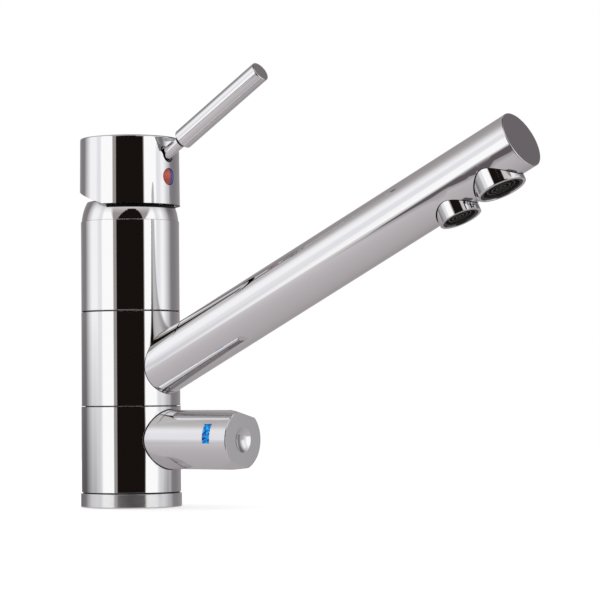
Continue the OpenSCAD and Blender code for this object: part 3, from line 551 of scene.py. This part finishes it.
def finished(name: str, bm: bmesh.types.BMesh, axis: Matrix, finish: Finish) -> bpy.types.Object:
    """Turn a bmesh in mm into an object in metres, smooth but for its real edges.

    Args:
        name: Name of the new object.
        bm: The mesh, which is freed.
        axis: Matrix from the mesh's frame to the row frame, both in mm.
        finish: Finish of the whole piece.

    Returns:
        The new object.
    """
    bmesh.ops.transform(bm, matrix=Matrix.Scale(MM, 4) @ axis, verts=bm.verts)
    mesh = bpy.data.meshes.new(name)
    bm.to_mesh(mesh)
    bm.free()
    mesh.shade_smooth()
    mesh.set_sharp_from_angle(angle=math.radians(40))
    mesh.materials.append(finish.material())
    piece = bpy.data.objects.new(name, mesh)
    bpy.context.scene.collection.objects.link(piece)
    return piece


@dataclass
class Assembly:
    """A group of pieces that rides on one CAD body."""

    frame: dict

    def keep(self, finish: Finish, *nodes: str) -> None:
        """Give CAD nodes a finish, and keep their shape.

        Args:
            finish: The finish.
            *nodes: Names of the nodes.
        """
        for node in nodes:
            mesh = self.frame["nodes"][node].data
            mesh.materials.clear()
            mesh.materials.append(finish.material())
            log.info("%s: %s", node, finish.name)

    def stand_in(self, piece: bpy.types.Object, body: str, slot: str, *nodes: str) -> None:
        """Let a finer piece ride on a body and stand for CAD nodes.

        Args:
            piece: The new piece.
            body: Name of its CAD body.
            slot: The record's material slot; not used.
            *nodes: Names of the nodes that it replaces.
        """
        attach(piece, body)
        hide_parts(*nodes)
        log.info("%s: %d faces for %s", piece.name, len(piece.data.polygons), ", ".join(nodes))

    def build(self) -> None:
        """Build and dress every piece of the assembly."""
        raise NotImplementedError


@dataclass
class Column(Assembly):
    """The fixed column: base ring, lower column, upper column and dome, in mm."""

    base_r: float = 25.4
    base_h: float = 6.9
    foot_r: float = 19.95
    gasket_in: float = 20.4
    gasket_out: float = 22.65
    gasket_t: float = 1.8
    upper_z: float = 97.9
    upper_top: float = 143.0
    upper_r: float = 24.8
    core_r: float = 20.95
    core_top: float = 110.1
    cartridge_r: float = 17.55
    nut_r: float = 20.05
    nut_z: float = 138.2
    collar_r: float = 22.0
    collar_top: float = 146.0
    dome_r: float = 24.5
    dome_wall: float = 1.5
    dome_centre: float = 141.4
    dome_top: float = 153.0
    dome_hole_r: float = 14.0
    arc_steps: int = 14

    def base_ring(self) -> bpy.types.Object:
        """Flange on the sink, with a soft outer edge and a groove for its gasket."""
        return turned(
            "base_ring_turned",
            (
                Corner(self.foot_r, 0),
                Corner(self.gasket_in, 0),
                Corner(self.gasket_in, self.gasket_t),
                Corner(self.gasket_out, self.gasket_t),
                Corner(self.gasket_out, 0),
                Corner(self.base_r, 0, 0.45),
                Corner(self.base_r, self.base_h, 0.35),
                Corner(self.foot_r, self.base_h),
            ),
            Axis.COLUMN.matrix,
            CHROME_RING,
        )

    def upper_body(self) -> bpy.types.Object:
        """Upper column, with a broken edge at each seam."""
        return turned(
            "upper_column_turned",
            (
                Corner(self.core_r, self.upper_z, 0.2),
                Corner(self.upper_r, self.upper_z, 0.3),
                Corner(self.upper_r, self.upper_top, 0.12),
                Corner(self.collar_r, self.upper_top),
                Corner(self.collar_r, self.collar_top, 0.4),
                Corner(self.nut_r, self.collar_top, 0.3),
                Corner(self.nut_r, self.nut_z),
                Corner(self.cartridge_r, self.nut_z),
                Corner(self.cartridge_r, self.core_top),
                Corner(self.core_r, self.core_top),
            ),
            Axis.COLUMN.matrix,
            CHROME_UPPER,
        )

    def arc(self, radius: float, low: float, high: float) -> list[Corner]:
        """Corners along the dome's sphere from one height to another.

        Args:
            radius: Radius of the sphere.
            low: First height.
            high: Last height.

        Returns:
            The corners in order.
        """
        start = math.asin((low - self.dome_centre) / radius)
        stop = math.asin((high - self.dome_centre) / radius)
        angles = [start + (stop - start) * i / self.arc_steps for i in range(self.arc_steps + 1)]
        return [Corner(radius * math.cos(a), self.dome_centre + radius * math.sin(a)) for a in angles]

    def dome_cover(self) -> bpy.types.Object:
        """Thin spun dome between the upper column and the lever's cap."""
        inner = self.dome_r - self.dome_wall
        seat_top = self.collar_top + 0.1
        outside = self.arc(self.dome_r, self.upper_top, self.dome_top)
        inside = self.arc(inner, self.dome_top - self.dome_wall, seat_top)
        return turned(
            "dome_cover_spun",
            (
                Corner(self.collar_r + 0.05, self.upper_top),
                Corner(outside[0].r, outside[0].z, 0.12),
                *outside[1:-1],
                Corner(outside[-1].r, outside[-1].z, 0.3),
                Corner(self.dome_hole_r, self.dome_top, 0.3),
                Corner(self.dome_hole_r, self.dome_top - self.dome_wall, 0.3),
                *inside,
                Corner(self.collar_r + 0.05, seat_top),
            ),
            Axis.COLUMN.matrix,
            CHROME,
        )

    def build(self) -> None:
        """Build the turned pieces and dress the rest of the column."""
        self.stand_in(self.base_ring(), "root", "chrome", "base_ring")
        self.stand_in(self.upper_body(), "root", "chrome", "upper_body")
        self.stand_in(self.dome_cover(), "root", "chrome", "dome_cover")
        self.keep(CHROME_LOWER, "valve_body")
        self.keep(RUBBER, "base_gasket", "barrel_seals")
        self.keep(ACETAL_WHITE, "lower_slide_ring", "upper_slide_ring")


@dataclass
class Spout(Assembly):
    """The turning barrel with its spout and two outlets, in mm along the spout's axis."""

    length: float = 253.0
    tip_r: float = 13.7
    cap_t: float = 1.6
    spigot_r: float = 12.15
    spigot_bore_r: float = 10.95
    spigot_l: float = 4.0
    main_s: float = 233.8
    main_r: float = 11.9
    main_bore_r: float = 10.3
    main_head: float = 5.96
    main_reach: float = 15.66

    def outlet_axis(self, s: float) -> Matrix:
        """Matrix of an outlet's frame, whose Z runs down the outlet.

        Args:
            s: Distance from the column's axis along the spout.
        """
        return Axis.SPOUT.matrix @ Matrix.Translation((0, 0, s)) @ Matrix.Rotation(math.radians(90), 4, "Y")

    def end_cap(self) -> bpy.types.Object:
        """Flat end cap with a bright rounded rim."""
        back = self.length - self.cap_t
        return turned(
            "spout_end_cap_turned",
            (
                Corner(0, back),
                Corner(self.spigot_bore_r, back),
                Corner(self.spigot_bore_r, back - self.spigot_l),
                Corner(self.spigot_r, back - self.spigot_l, 0.3),
                Corner(self.spigot_r, back),
                Corner(self.tip_r, back),
                Corner(self.tip_r, self.length, 0.5),
                Corner(0, self.length),
            ),
            Axis.SPOUT.matrix,
            CHROME_END,
        )

    def main_collar(self) -> bpy.types.Object:
        """Collar of the mixed water outlet, with a rounded rim."""
        return turned(
            "main_outlet_collar_turned",
            (
                Corner(self.main_bore_r, self.main_head),
                Corner(self.main_r, self.main_head),
                Corner(self.main_r, self.main_reach, 0.55),
                Corner(self.main_bore_r, self.main_reach, 0.35),
            ),
            self.outlet_axis(self.main_s),
            CHROME,
            Turn.LARGE,
        )

    def build(self) -> None:
        """Build the turned pieces and dress the rest of the spout."""
        self.stand_in(self.end_cap(), "spout", "chrome", "spout_end_cap")
        self.stand_in(self.main_collar(), "spout", "chrome", "main_collar")
        self.keep(CHROME, "filter_collar")
        self.keep(CHROME_BARREL, "spout_barrel")
        self.keep(CHROME_TUBE, "spout_tube")
        self.keep(TUBE_PLASTIC, "filter_tube")
        self.keep(RUBBER, "main_seal", "filter_collar_seal")
        self.keep(ACETAL_WHITE, "main_restrictor", "filter_restrictor")
        self.keep(AERATOR_PLASTIC, "main_aerator", "filter_aerator")


@dataclass
class MixingLever(Assembly):
    """The lever's cap, neck and grip, in mm along the bar's axis."""

    neck_s: float = 15.97
    neck_r: float = 3.0
    neck_core_r: float = 2.3
    grip_s: float = 40.07
    grip_l: float = 57.0
    grip_r: float = 5.2
    shoulder: float = 0.7
    socket_l: float = 10.5

    def neck(self) -> bpy.types.Object:
        """Neck of the bar, with a thin groove where the grip starts, painted dark as its shade."""
        return turned(
            "lever_neck_turned",
            (
                Corner(0, self.neck_s),
                Corner(self.neck_r, self.neck_s, 0.3),
                Corner(self.neck_r, self.grip_s - self.shoulder, 0.12),
                Corner(self.neck_core_r, self.grip_s - self.shoulder),
                Corner(self.neck_core_r, self.grip_s + self.socket_l - 0.1),
                Corner(0, self.grip_s + self.socket_l - 0.1),
            ),
            Axis.LEVER.matrix,
            CHROME_NECK,
            Turn.SMALL,
        )

    def grip(self) -> bpy.types.Object:
        """Plain round grip with softly broken ends."""
        top = self.grip_s + self.grip_l
        return turned(
            "lever_grip_turned",
            (
                Corner(0, self.grip_s + self.socket_l),
                Corner(self.neck_core_r + 0.05, self.grip_s + self.socket_l),
                Corner(self.neck_core_r + 0.05, self.grip_s),
                Corner(self.grip_r, self.grip_s, 0.6),
                Corner(self.grip_r, top, 0.65),
                Corner(0, top),
            ),
            Axis.LEVER.matrix,
            CHROME,
            Turn.SMALL,
            6,
        )

    def build(self) -> None:
        """Build the bar and dress the cap with its marks."""
        self.stand_in(self.neck(), "lever", "chrome", "lever_neck")
        self.stand_in(self.grip(), "lever", "chrome", "lever_grip")
        self.keep(CHROME_CAP, "lever_cap")
        self.keep(STEEL, "lever_stem", "cap_grub_screw")
        self.keep(RED_ENAMEL, "hot_mark")
        self.keep(BLUE_ENAMEL, "cold_mark")


@dataclass
class MixingCartridge(Assembly):
    """The cartridge that the lever works: all of it is inside the column."""

    def build(self) -> None:
        """Dress the cartridge's pieces."""
        self.keep(BRASS, "cartridge_nut")
        self.keep(ACETAL_WHITE, "cartridge_housing")
        self.keep(ACETAL_GREY, "cartridge_base")
        self.keep(RUBBER, "cartridge_seals")
        self.keep(CERAMIC, "fixed_disc", "moving_disc")
        self.keep(ACETAL_BLUE, "disc_driver", "cartridge_carrier")
        self.keep(STEEL, "pivot_pin")


@dataclass
class FilterValve(Assembly):
    """The filtered water valve with its knob."""

    def build(self) -> None:
        """Dress the knob, its mark and the valve inside."""
        self.keep(CHROME_KNOB, "filter_knob")
        self.keep(KNOB_ENAMEL, "filter_mark")
        self.keep(ACETAL_WHITE, "filter_knob_insert")
        self.keep(BRASS, "filter_valve_body")
        self.keep(RUBBER, "filter_valve_seal", "filter_seat_ring", "spindle_seal")
        self.keep(CERAMIC, "filter_fixed_disc", "filter_moving_disc")
        self.keep(STEEL, "filter_spindle", "spindle_clip")


@dataclass(frozen=True)
class Zone:
    """Part of the room that one tone dims or covers.

    Each edge names an angle, and gives its values where the tone sets in and where it is full.
    """

    tone: str
    edges: tuple[tuple[str, float, float], ...]
    mode: str = "MULTIPLY"
    fade: str = "LINEAR"


@dataclass(frozen=True)
class Studio:
    """The studio round the tap: world, floor, table, card and camera.

    Directions in the room are an azimuth from the camera's side, positive to the right as seen
    from the camera, and an elevation, both in degrees. Both sides have the same panels and
    corners, each part has one tone, and a few zones dim them. The tap stands on a small white
    floor that mirrors pass through. Only mirrors show the larger table below it and the small
    dark card near the outlets. Behind the tap the room is white to mirrors and glass too. Sizes
    and places are in metres, toward the camera and to its left.
    """

    camera_at: Triple = (0.78388, -0.96079, 0.05636)
    camera_forward: Triple = (-0.5769, 0.816, 0.0377)
    camera_up: Triple = (0.0286, -0.0259, 0.9993)
    lens: float = 147.25
    lamp_strength: float = 1.2
    backdrop_half: float = 11.0
    floor_side: float = 0.9
    floor_lift: float = 0.5
    fibre_scale: float = 12.0
    fibre_tones: tuple[tuple[float, str], ...] = ((0.3, "#D6D6D6"), (0.7, "#DADADA"))
    table_drop: float = 0.1
    table_corners: tuple[Pair, ...] = (
        (0.252, -0.5), (0.398, 0.33), (0.6, 0.5), (-0.5, 0.5), (-0.5, -0.5),
    )
    table_fade: float = 0.06
    table_fade_to: float = 0.55
    table_dim_at: Pair = (-0.3, -0.25)
    table_reach: float = 1.1
    table_tones: tuple[str, str] = ("#928C8E", "#D2CDCF")
    card_at: Triple = (0.416, -0.04, 0.287)
    card_side: float = 0.17

    screen: str = "#171210"
    plain: str = "#97918F"
    front: str = "#FDFDFD"
    seam: str = "#E2E2E6"
    side: str = "#F4F4F6"
    corner: str = "#7C787B"
    back: str = "#A29D9D"
    roof: str = "#CCC9C9"
    front_end: float = 65.0
    seam_ends: Pair = (68.0, 75.0)
    side_from: float = 81.0
    side_ends: Pair = (98.0, 87.0)
    corner_off: Pair = (27.0, 42.0)
    roof_rise: Pair = (22.0, 44.0)
    lean_rise: Pair = (8.0, 48.0)
    opening_half: float = 36.0
    opening_lean: float = 0.25
    opening_spread: float = 0.45
    opening_blur: Pair = (0.3, 1.2)
    arch_half: float = 32.4
    arch_top: float = 38.0
    arch_powers: Pair = (2.0, 0.55)
    arch_middle: Pair = (0.2, 3.0)
    high_zones: tuple[Zone, ...] = (
        # the ceiling is dark high above
        Zone("#262322", (("rise", 56.0, 72.0),), "MIX", "SMOOTHSTEP"),
    )
    wall_zones: tuple[Zone, ...] = (
        # the right wall is dimmer higher up, behind the tap
        Zone("#D6D2D4", (("turn", 110.0, 124.0), ("rise", 10.0, 22.0))),
        # the far side of the left panel is dimmer toward its foot
        Zone("#C4C2C4", (("turn", -60.0, -68.0), ("rise", 2.0, -26.0))),
        # the side walls are dimmer below the level of the eye
        Zone("#BCBBBC", (("aside", 68.0, 86.0), ("turn", 106.0, 97.0), ("rise", 2.0, -2.4))),
        # it is dark under the panels
        Zone("#5C5659", (("rise", -12.5, -24.0), ("aside", 84.0, 74.0)), "MIX", "SMOOTHSTEP"),
    )

    @property
    def heading(self) -> float:
        """Heading of the camera's side of the room, in radians from +X."""
        return math.atan2(-self.camera_forward[1], -self.camera_forward[0])

    @property
    def walls(self) -> list[tuple[float, str]]:
        """Tones round the room by azimuth: on each side two panels, a seam between them and a corner."""
        stops = [(-180.0, self.back), (180.0, self.back)]
        for sign, end in zip((-1, 1), self.side_ends):
            turns = (
                (self.front_end, self.front),
                *((turn, self.seam) for turn in self.seam_ends),
                (self.side_from, self.side),
                (end, self.side),
                *((end + off, self.corner) for off in self.corner_off),
            )
            stops += [(sign * turn, tone) for turn, tone in turns]
        return sorted(stops)

    @property
    def ceiling(self) -> list[tuple[float, str]]:
        """Tones of the ceiling by azimuth: pale before the camera, with one dark corner at the right."""
        turns = (-180.0, -130.0, -60.0, 60.0, 120.0, 150.0, 180.0)
        tones = (self.back, self.back, self.roof, self.roof, self.corner, self.back, self.back)
        return list(zip(turns, tones))

    @staticmethod
    def around(stops: Sequence[tuple[float, str]]) -> list[tuple[float, str]]:
        """Turn azimuths from -180 to 180 degrees into places from 0 to 1."""
        return [(azimuth / 360 + 0.5, code) for azimuth, code in stops]

    def angles(self, tree: Tree) -> Angles:
        """Angles of a direction in the room, in degrees.

        Args:
            tree: The world's node tree.

        Returns:
            Nodes for azimuth as turn, azimuth without its sign as aside, and elevation as rise.
        """
        toward = add_node(
            tree,
            "VectorRotate",
            {"Vector": add_node(tree, "TexCoord").outputs["Generated"], "Angle": -self.heading},
            rotation_type="Z_AXIS",
        )
        part = add_node(tree, "SeparateXYZ", {"Vector": toward.outputs["Vector"]})
        spin = add_node(tree, "Math", {0: part.outputs["Y"], 1: part.outputs["X"]}, operation="ARCTAN2")
        turn = add_node(tree, "Math", {0: spin}, operation="DEGREES")
        aside = add_node(tree, "Math", {0: turn}, operation="ABSOLUTE")
        climb = add_node(tree, "Math", {0: part.outputs["Z"]}, operation="ARCSINE")
        rise = add_node(tree, "Math", {0: climb}, operation="DEGREES")
        return {"turn": turn, "aside": aside, "rise": rise}

    def opening(self, tree: Tree, angles: Angles, above: Socket) -> Socket:
        """Share of the panels, whose inner edges lean outward and turn soft with height.

        Args:
            tree: The world's node tree.
            angles: Angles of the direction.
            above: Degrees above the height where the edges start to lean.

        Returns:
            None in the opening between the panels, and one past its edges.
        """
        middle = add_node(tree, "Math", {0: above, 1: self.opening_lean}, operation="MULTIPLY")
        off = add_node(tree, "Math", {0: angles["turn"], 1: middle}, operation="SUBTRACT")
        side = add_node(tree, "Math", {0: off}, operation="ABSOLUTE")
        edge = add_node(
            tree, "Math", {0: above, 1: self.opening_spread, 2: self.opening_half}, operation="MULTIPLY_ADD"
        )
        grow, least = self.opening_blur
        blur = add_node(tree, "Math", {0: above, 1: grow, 2: least}, operation="MULTIPLY_ADD")
        past = add_node(tree, "Math", {0: side, 1: edge}, operation="SUBTRACT")
        return add_node(tree, "Math", {0: past, 1: blur}, operation="DIVIDE", use_clamp=True).outputs[0]

    def arch(self, tree: Tree, angles: Angles, above: Socket) -> Socket:
        """Share of the dark screen before the camera, which has a round top.

        Args:
            tree: The world's node tree.
            angles: Angles of the direction.
            above: Degrees above the height where the panels' edges start to lean.

        Returns:
            One on the screen, and none round it.
        """
        lean, start = self.arch_middle
        middle = add_node(tree, "Math", {0: above, 1: lean, 2: start}, operation="MULTIPLY_ADD")
        rise = add_node(tree, "MapRange", {"Value": angles["rise"], "From Max": self.arch_top})
        bend, flat = self.arch_powers
        bent = add_node(tree, "Math", {0: rise, 1: bend}, operation="POWER")
        left = add_node(tree, "Math", {0: 1.0, 1: bent}, operation="SUBTRACT")
        shape = add_node(tree, "Math", {0: left, 1: flat}, operation="POWER")
        half = add_node(tree, "Math", {0: shape, 1: self.arch_half}, operation="MULTIPLY")
        off = add_node(tree, "Math", {0: angles["turn"], 1: middle}, operation="SUBTRACT")
        side = add_node(tree, "Math", {0: off}, operation="ABSOLUTE")
        inside = add_node(tree, "Math", {0: half, 1: side}, operation="SUBTRACT", use_clamp=True)
        top = add_node(
            tree,
            "MapRange",
            {"Value": angles["rise"], "From Min": self.arch_top + 1, "From Max": self.arch_top - 1},
        )
        return add_node(tree, "Math", {0: inside, 1: top}, operation="MULTIPLY").outputs[0]

    def cover(self, tree: Tree, angles: Angles, color: Socket, zones: Sequence[Zone]) -> Socket:
        """Lay zones over the room one after another.

        Args:
            tree: The world's node tree.
            angles: Angles of the direction.
            color: Colour of the room so far.
            zones: The zones in order.

        Returns:
            The colour with the zones.
        """
        for zone in zones:
            share = None
            for angle, start, full in zone.edges:
                edge = add_node(
                    tree,
                    "MapRange",
                    {"Value": angles[angle], "From Min": start, "From Max": full},
                    interpolation_type=zone.fade,
                ).outputs[0]
                both = {0: share, 1: edge}
                share = add_node(tree, "Math", both, operation="MULTIPLY").outputs[0] if share else edge
            color = add_node(
                tree,
                "Mix",
                {"Factor": share, "A": color, "B": linear(zone.tone)},
                data_type="RGBA",
                blend_type=zone.mode,
            ).outputs["Result"]
        return color

    def room(self, tree: Tree) -> Socket:
        """Colour of the room in each direction, as polished metal mirrors it.

        Args:
            tree: The world's node tree.

        Returns:
            The colour.
        """
        angles = self.angles(tree)
        share = add_node(tree, "MapRange", {"Value": angles["turn"], "From Min": -180.0, "From Max": 180.0})
        wall, roof = (
            fill_ramp(add_node(tree, "ValToRGB", {"Fac": share}), self.around(stops))
            for stops in (self.walls, self.ceiling)
        )
        low, high = self.lean_rise
        above = add_node(
            tree,
            "MapRange",
            {"Value": angles["rise"], "From Min": low, "From Max": high, "To Max": high - low},
        ).outputs[0]
        panel = self.opening(tree, angles, above)
        panelled = add_node(
            tree,
            "Mix",
            {"Factor": panel, "A": linear(self.plain), "B": wall.outputs["Color"]},
            data_type="RGBA",
        )
        low, high = self.roof_rise
        overhead = add_node(
            tree,
            "MapRange",
            {"Value": angles["rise"], "From Min": low, "From Max": high},
            interpolation_type="SMOOTHSTEP",
        )
        roofed = add_node(
            tree,
            "Mix",
            {"Factor": overhead, "A": panelled.outputs["Result"], "B": roof.outputs["Color"]},
            data_type="RGBA",
        )
        covered = self.cover(tree, angles, roofed.outputs["Result"], self.high_zones)
        screened = add_node(
            tree,
            "Mix",
            {"Factor": self.arch(tree, angles, above), "A": covered, "B": linear(self.screen)},
            data_type="RGBA",
        )
        return self.cover(tree, angles, screened.outputs["Result"], self.wall_zones)

    def world(self) -> None:
        """Room of soft light for mirrors, and plain white for the eye and for matt surfaces.

        The white background behind the tap shows in metal and glass as well.
        """
        world = bpy.data.worlds.new("studio_room")
        bpy.context.scene.world = world
        tree = cleared(world)
        rays = add_node(tree, "LightPath")
        plain = add_node(
            tree,
            "Math",
            {0: rays.outputs["Is Camera Ray"], 1: rays.outputs["Is Diffuse Ray"]},
            operation="MAXIMUM",
        )
        direction = add_node(tree, "TexCoord").outputs["Generated"]
        forward = Vector(self.camera_forward).normalized()
        behind = add_node(tree, "VectorMath", {0: direction, 1: forward}, operation="DOT_PRODUCT")
        limit = math.cos(math.radians(self.backdrop_half))
        backdrop = add_node(tree, "Math", {0: behind.outputs["Value"], 1: limit}, operation="GREATER_THAN")
        clear = add_node(
            tree,
            "Math",
            {0: rays.outputs["Is Glossy Ray"], 1: rays.outputs["Is Transmission Ray"]},
            operation="MAXIMUM",
        )
        past = add_node(tree, "Math", {0: clear, 1: backdrop}, operation="MULTIPLY")
        pale = add_node(tree, "Math", {0: plain, 1: past}, operation="MAXIMUM")
        mirrored = add_node(tree, "Background", {"Color": self.room(tree), "Strength": self.lamp_strength})
        white = add_node(tree, "Background", {"Color": linear("#FFFFFF"), "Strength": 1.0})
        shown = add_node(tree, "MixShader", {"Fac": pale, 1: mirrored, 2: white})
        add_node(tree, "OutputWorld", {"Surface": shown})

    def place(self, toward: float, left: float, height: float) -> Vector:
        """Place in the row frame from distances toward the camera, to its left, and up."""
        ahead = Vector((math.cos(self.heading), math.sin(self.heading), 0))
        aside = Vector((math.sin(self.heading), -math.cos(self.heading), 0))
        return ahead * toward + aside * left + Vector((0, 0, height))

    def paper(self) -> bpy.types.Material:
        """White paper with a faint fibre: the eye sees it fully lit, and mirrors look past it."""
        material = bpy.data.materials.new("studio_floor_paper")
        tree = cleared(material)
        rays = add_node(tree, "LightPath")
        spot = add_node(tree, "TexCoord").outputs["Object"]
        fibre = add_node(tree, "TexNoise", {"Vector": spot, "Scale": self.fibre_scale})
        grey = fill_ramp(add_node(tree, "ValToRGB", {"Fac": fibre.outputs["Fac"]}), self.fibre_tones)
        soft = add_node(tree, "BsdfDiffuse", {"Color": grey.outputs["Color"]})
        clear = add_node(
            tree,
            "Math",
            {0: rays.outputs["Is Camera Ray"], 1: rays.outputs["Is Transmission Ray"]},
            operation="MAXIMUM",
        )
        lift = add_node(tree, "Math", {0: clear, 1: self.floor_lift}, operation="MULTIPLY")
        glow = add_node(tree, "Emission", {"Color": linear("#FFFFFF"), "Strength": lift})
        seen = add_node(tree, "AddShader", {0: soft, 1: glow})
        past = add_node(tree, "BsdfTransparent")
        both = add_node(tree, "MixShader", {"Fac": rays.outputs["Is Glossy Ray"], 1: seen, 2: past})
        add_node(tree, "OutputMaterial", {"Surface": both})
        return material

    def board(self) -> bpy.types.Material:
        """Pale table lit by the panels: dim at the far right, and fading at its front edge."""
        material = bpy.data.materials.new("studio_table_board")
        tree = cleared(material)
        spot = add_node(tree, "TexCoord").outputs["Object"]
        dim_at = self.place(*self.table_dim_at, -self.table_drop)
        away = add_node(tree, "VectorMath", {0: spot, 1: dim_at}, operation="DISTANCE")
        share = add_node(tree, "Math", {0: away.outputs["Value"], 1: self.table_reach}, operation="DIVIDE")
        tone = fill_ramp(
            add_node(tree, "ValToRGB", {"Fac": share}), list(zip((0.0, 1.0), self.table_tones))
        )

        # the front edge runs from the table's first corner to its second
        right, corner = (self.place(*at, 0) for at in self.table_corners[:2])
        along = (corner - right).normalized()
        out = Vector((-along.y, along.x, 0))
        out = out if out.dot(right) > 0 else -out
        ahead = add_node(tree, "VectorMath", {0: spot, 1: out}, operation="DOT_PRODUCT").outputs["Value"]
        edge = out.dot(right)
        faded = add_node(
            tree,
            "MapRange",
            {
                "Value": ahead,
                "From Min": edge - self.table_fade,
                "From Max": edge,
                "To Min": self.lamp_strength,
                "To Max": self.table_fade_to * self.lamp_strength,
            },
        )
        reached = add_node(tree, "VectorMath", {0: spot, 1: along}, operation="DOT_PRODUCT").outputs["Value"]
        past = add_node(tree, "Math", {0: reached, 1: along.dot(corner)}, operation="GREATER_THAN")
        strength = add_node(
            tree, "Mix", {"Factor": past, "A": faded.outputs["Result"], "B": self.lamp_strength}
        )
        shine = add_node(
            tree, "Emission", {"Color": tone.outputs["Color"], "Strength": strength.outputs["Result"]}
        )
        add_node(tree, "OutputMaterial", {"Surface": shine})
        return material

    def felt(self) -> bpy.types.Material:
        """Black felt, which is as dark as the screen."""
        material = bpy.data.materials.new("studio_card_felt")
        tree = cleared(material)
        faint = add_node(tree, "Emission", {"Color": linear(self.screen), "Strength": self.lamp_strength})
        add_node(tree, "OutputMaterial", {"Surface": faint})
        return material

    def sheet(self, name: str, corners: Sequence[Vector], material: bpy.types.Material) -> bpy.types.Object:
        """Lay a flat stage sheet.

        Args:
            name: Name of the new object.
            corners: Its corners in order, in metres.
            material: Its material.

        Returns:
            The new object.
        """
        bm = bmesh.new()
        bm.faces.new([bm.verts.new(corner) for corner in corners])
        mesh = bpy.data.meshes.new(name)
        bm.to_mesh(mesh)
        bm.free()
        mesh.materials.append(material)
        laid = bpy.data.objects.new(name, mesh)
        bpy.context.scene.collection.objects.link(laid)
        return laid

    def ground(self) -> None:
        """White floor under the tap, with the table below it and the dark card for mirrors only."""
        side = self.floor_side
        square = ((side, -side), (side, side), (-side, side), (-side, -side))
        self.sheet("studio_floor", [self.place(*at, -0.3 * MM) for at in square], self.paper())
        corners = [self.place(*at, -self.table_drop) for at in self.table_corners]
        table = self.sheet("studio_table", corners, self.board())
        half = self.card_side / 2
        toward, left, height = self.card_at
        upright = ((-half, -half), (half, -half), (half, half), (-half, half))
        edges = [self.place(toward, left + aside, height + rise) for aside, rise in upright]
        card = self.sheet("studio_card", edges, self.felt())
        for shown in (table, card):
            for ray in ("camera", "diffuse", "transmission", "shadow"):
                setattr(shown, f"visible_{ray}", False)

    def camera(self) -> None:
        """Camera at the photograph's viewing angle."""
        data = bpy.data.cameras.new("studio_camera")
        data.lens = self.lens
        data.sensor_width = 36
        data.clip_start = 0.05
        data.clip_end = 20
        camera = bpy.data.objects.new("studio_camera", data)
        bpy.context.scene.collection.objects.link(camera)
        forward = Vector(self.camera_forward).normalized()
        right = forward.cross(Vector(self.camera_up)).normalized()
        up = right.cross(forward)
        turn = Matrix((right, up, -forward)).transposed().to_4x4()
        camera.matrix_world = Matrix.Translation(self.camera_at) @ turn
        bpy.context.scene.camera = camera

    def build(self) -> None:
        """Set up the room, the sheets and the camera."""
        self.world()
        self.ground()
        self.camera()
        bpy.context.scene.view_settings.view_transform = "Standard"


def main() -> None:
    """Load the frame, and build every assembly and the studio."""
    logging.basicConfig(level=logging.INFO, format="%(name)s: %(message)s")
    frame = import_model()
    for part in (Column, Spout, MixingLever, MixingCartridge, FilterValve):
        part(frame).build()
    Studio().build()


if __name__ == "__main__":
    main()
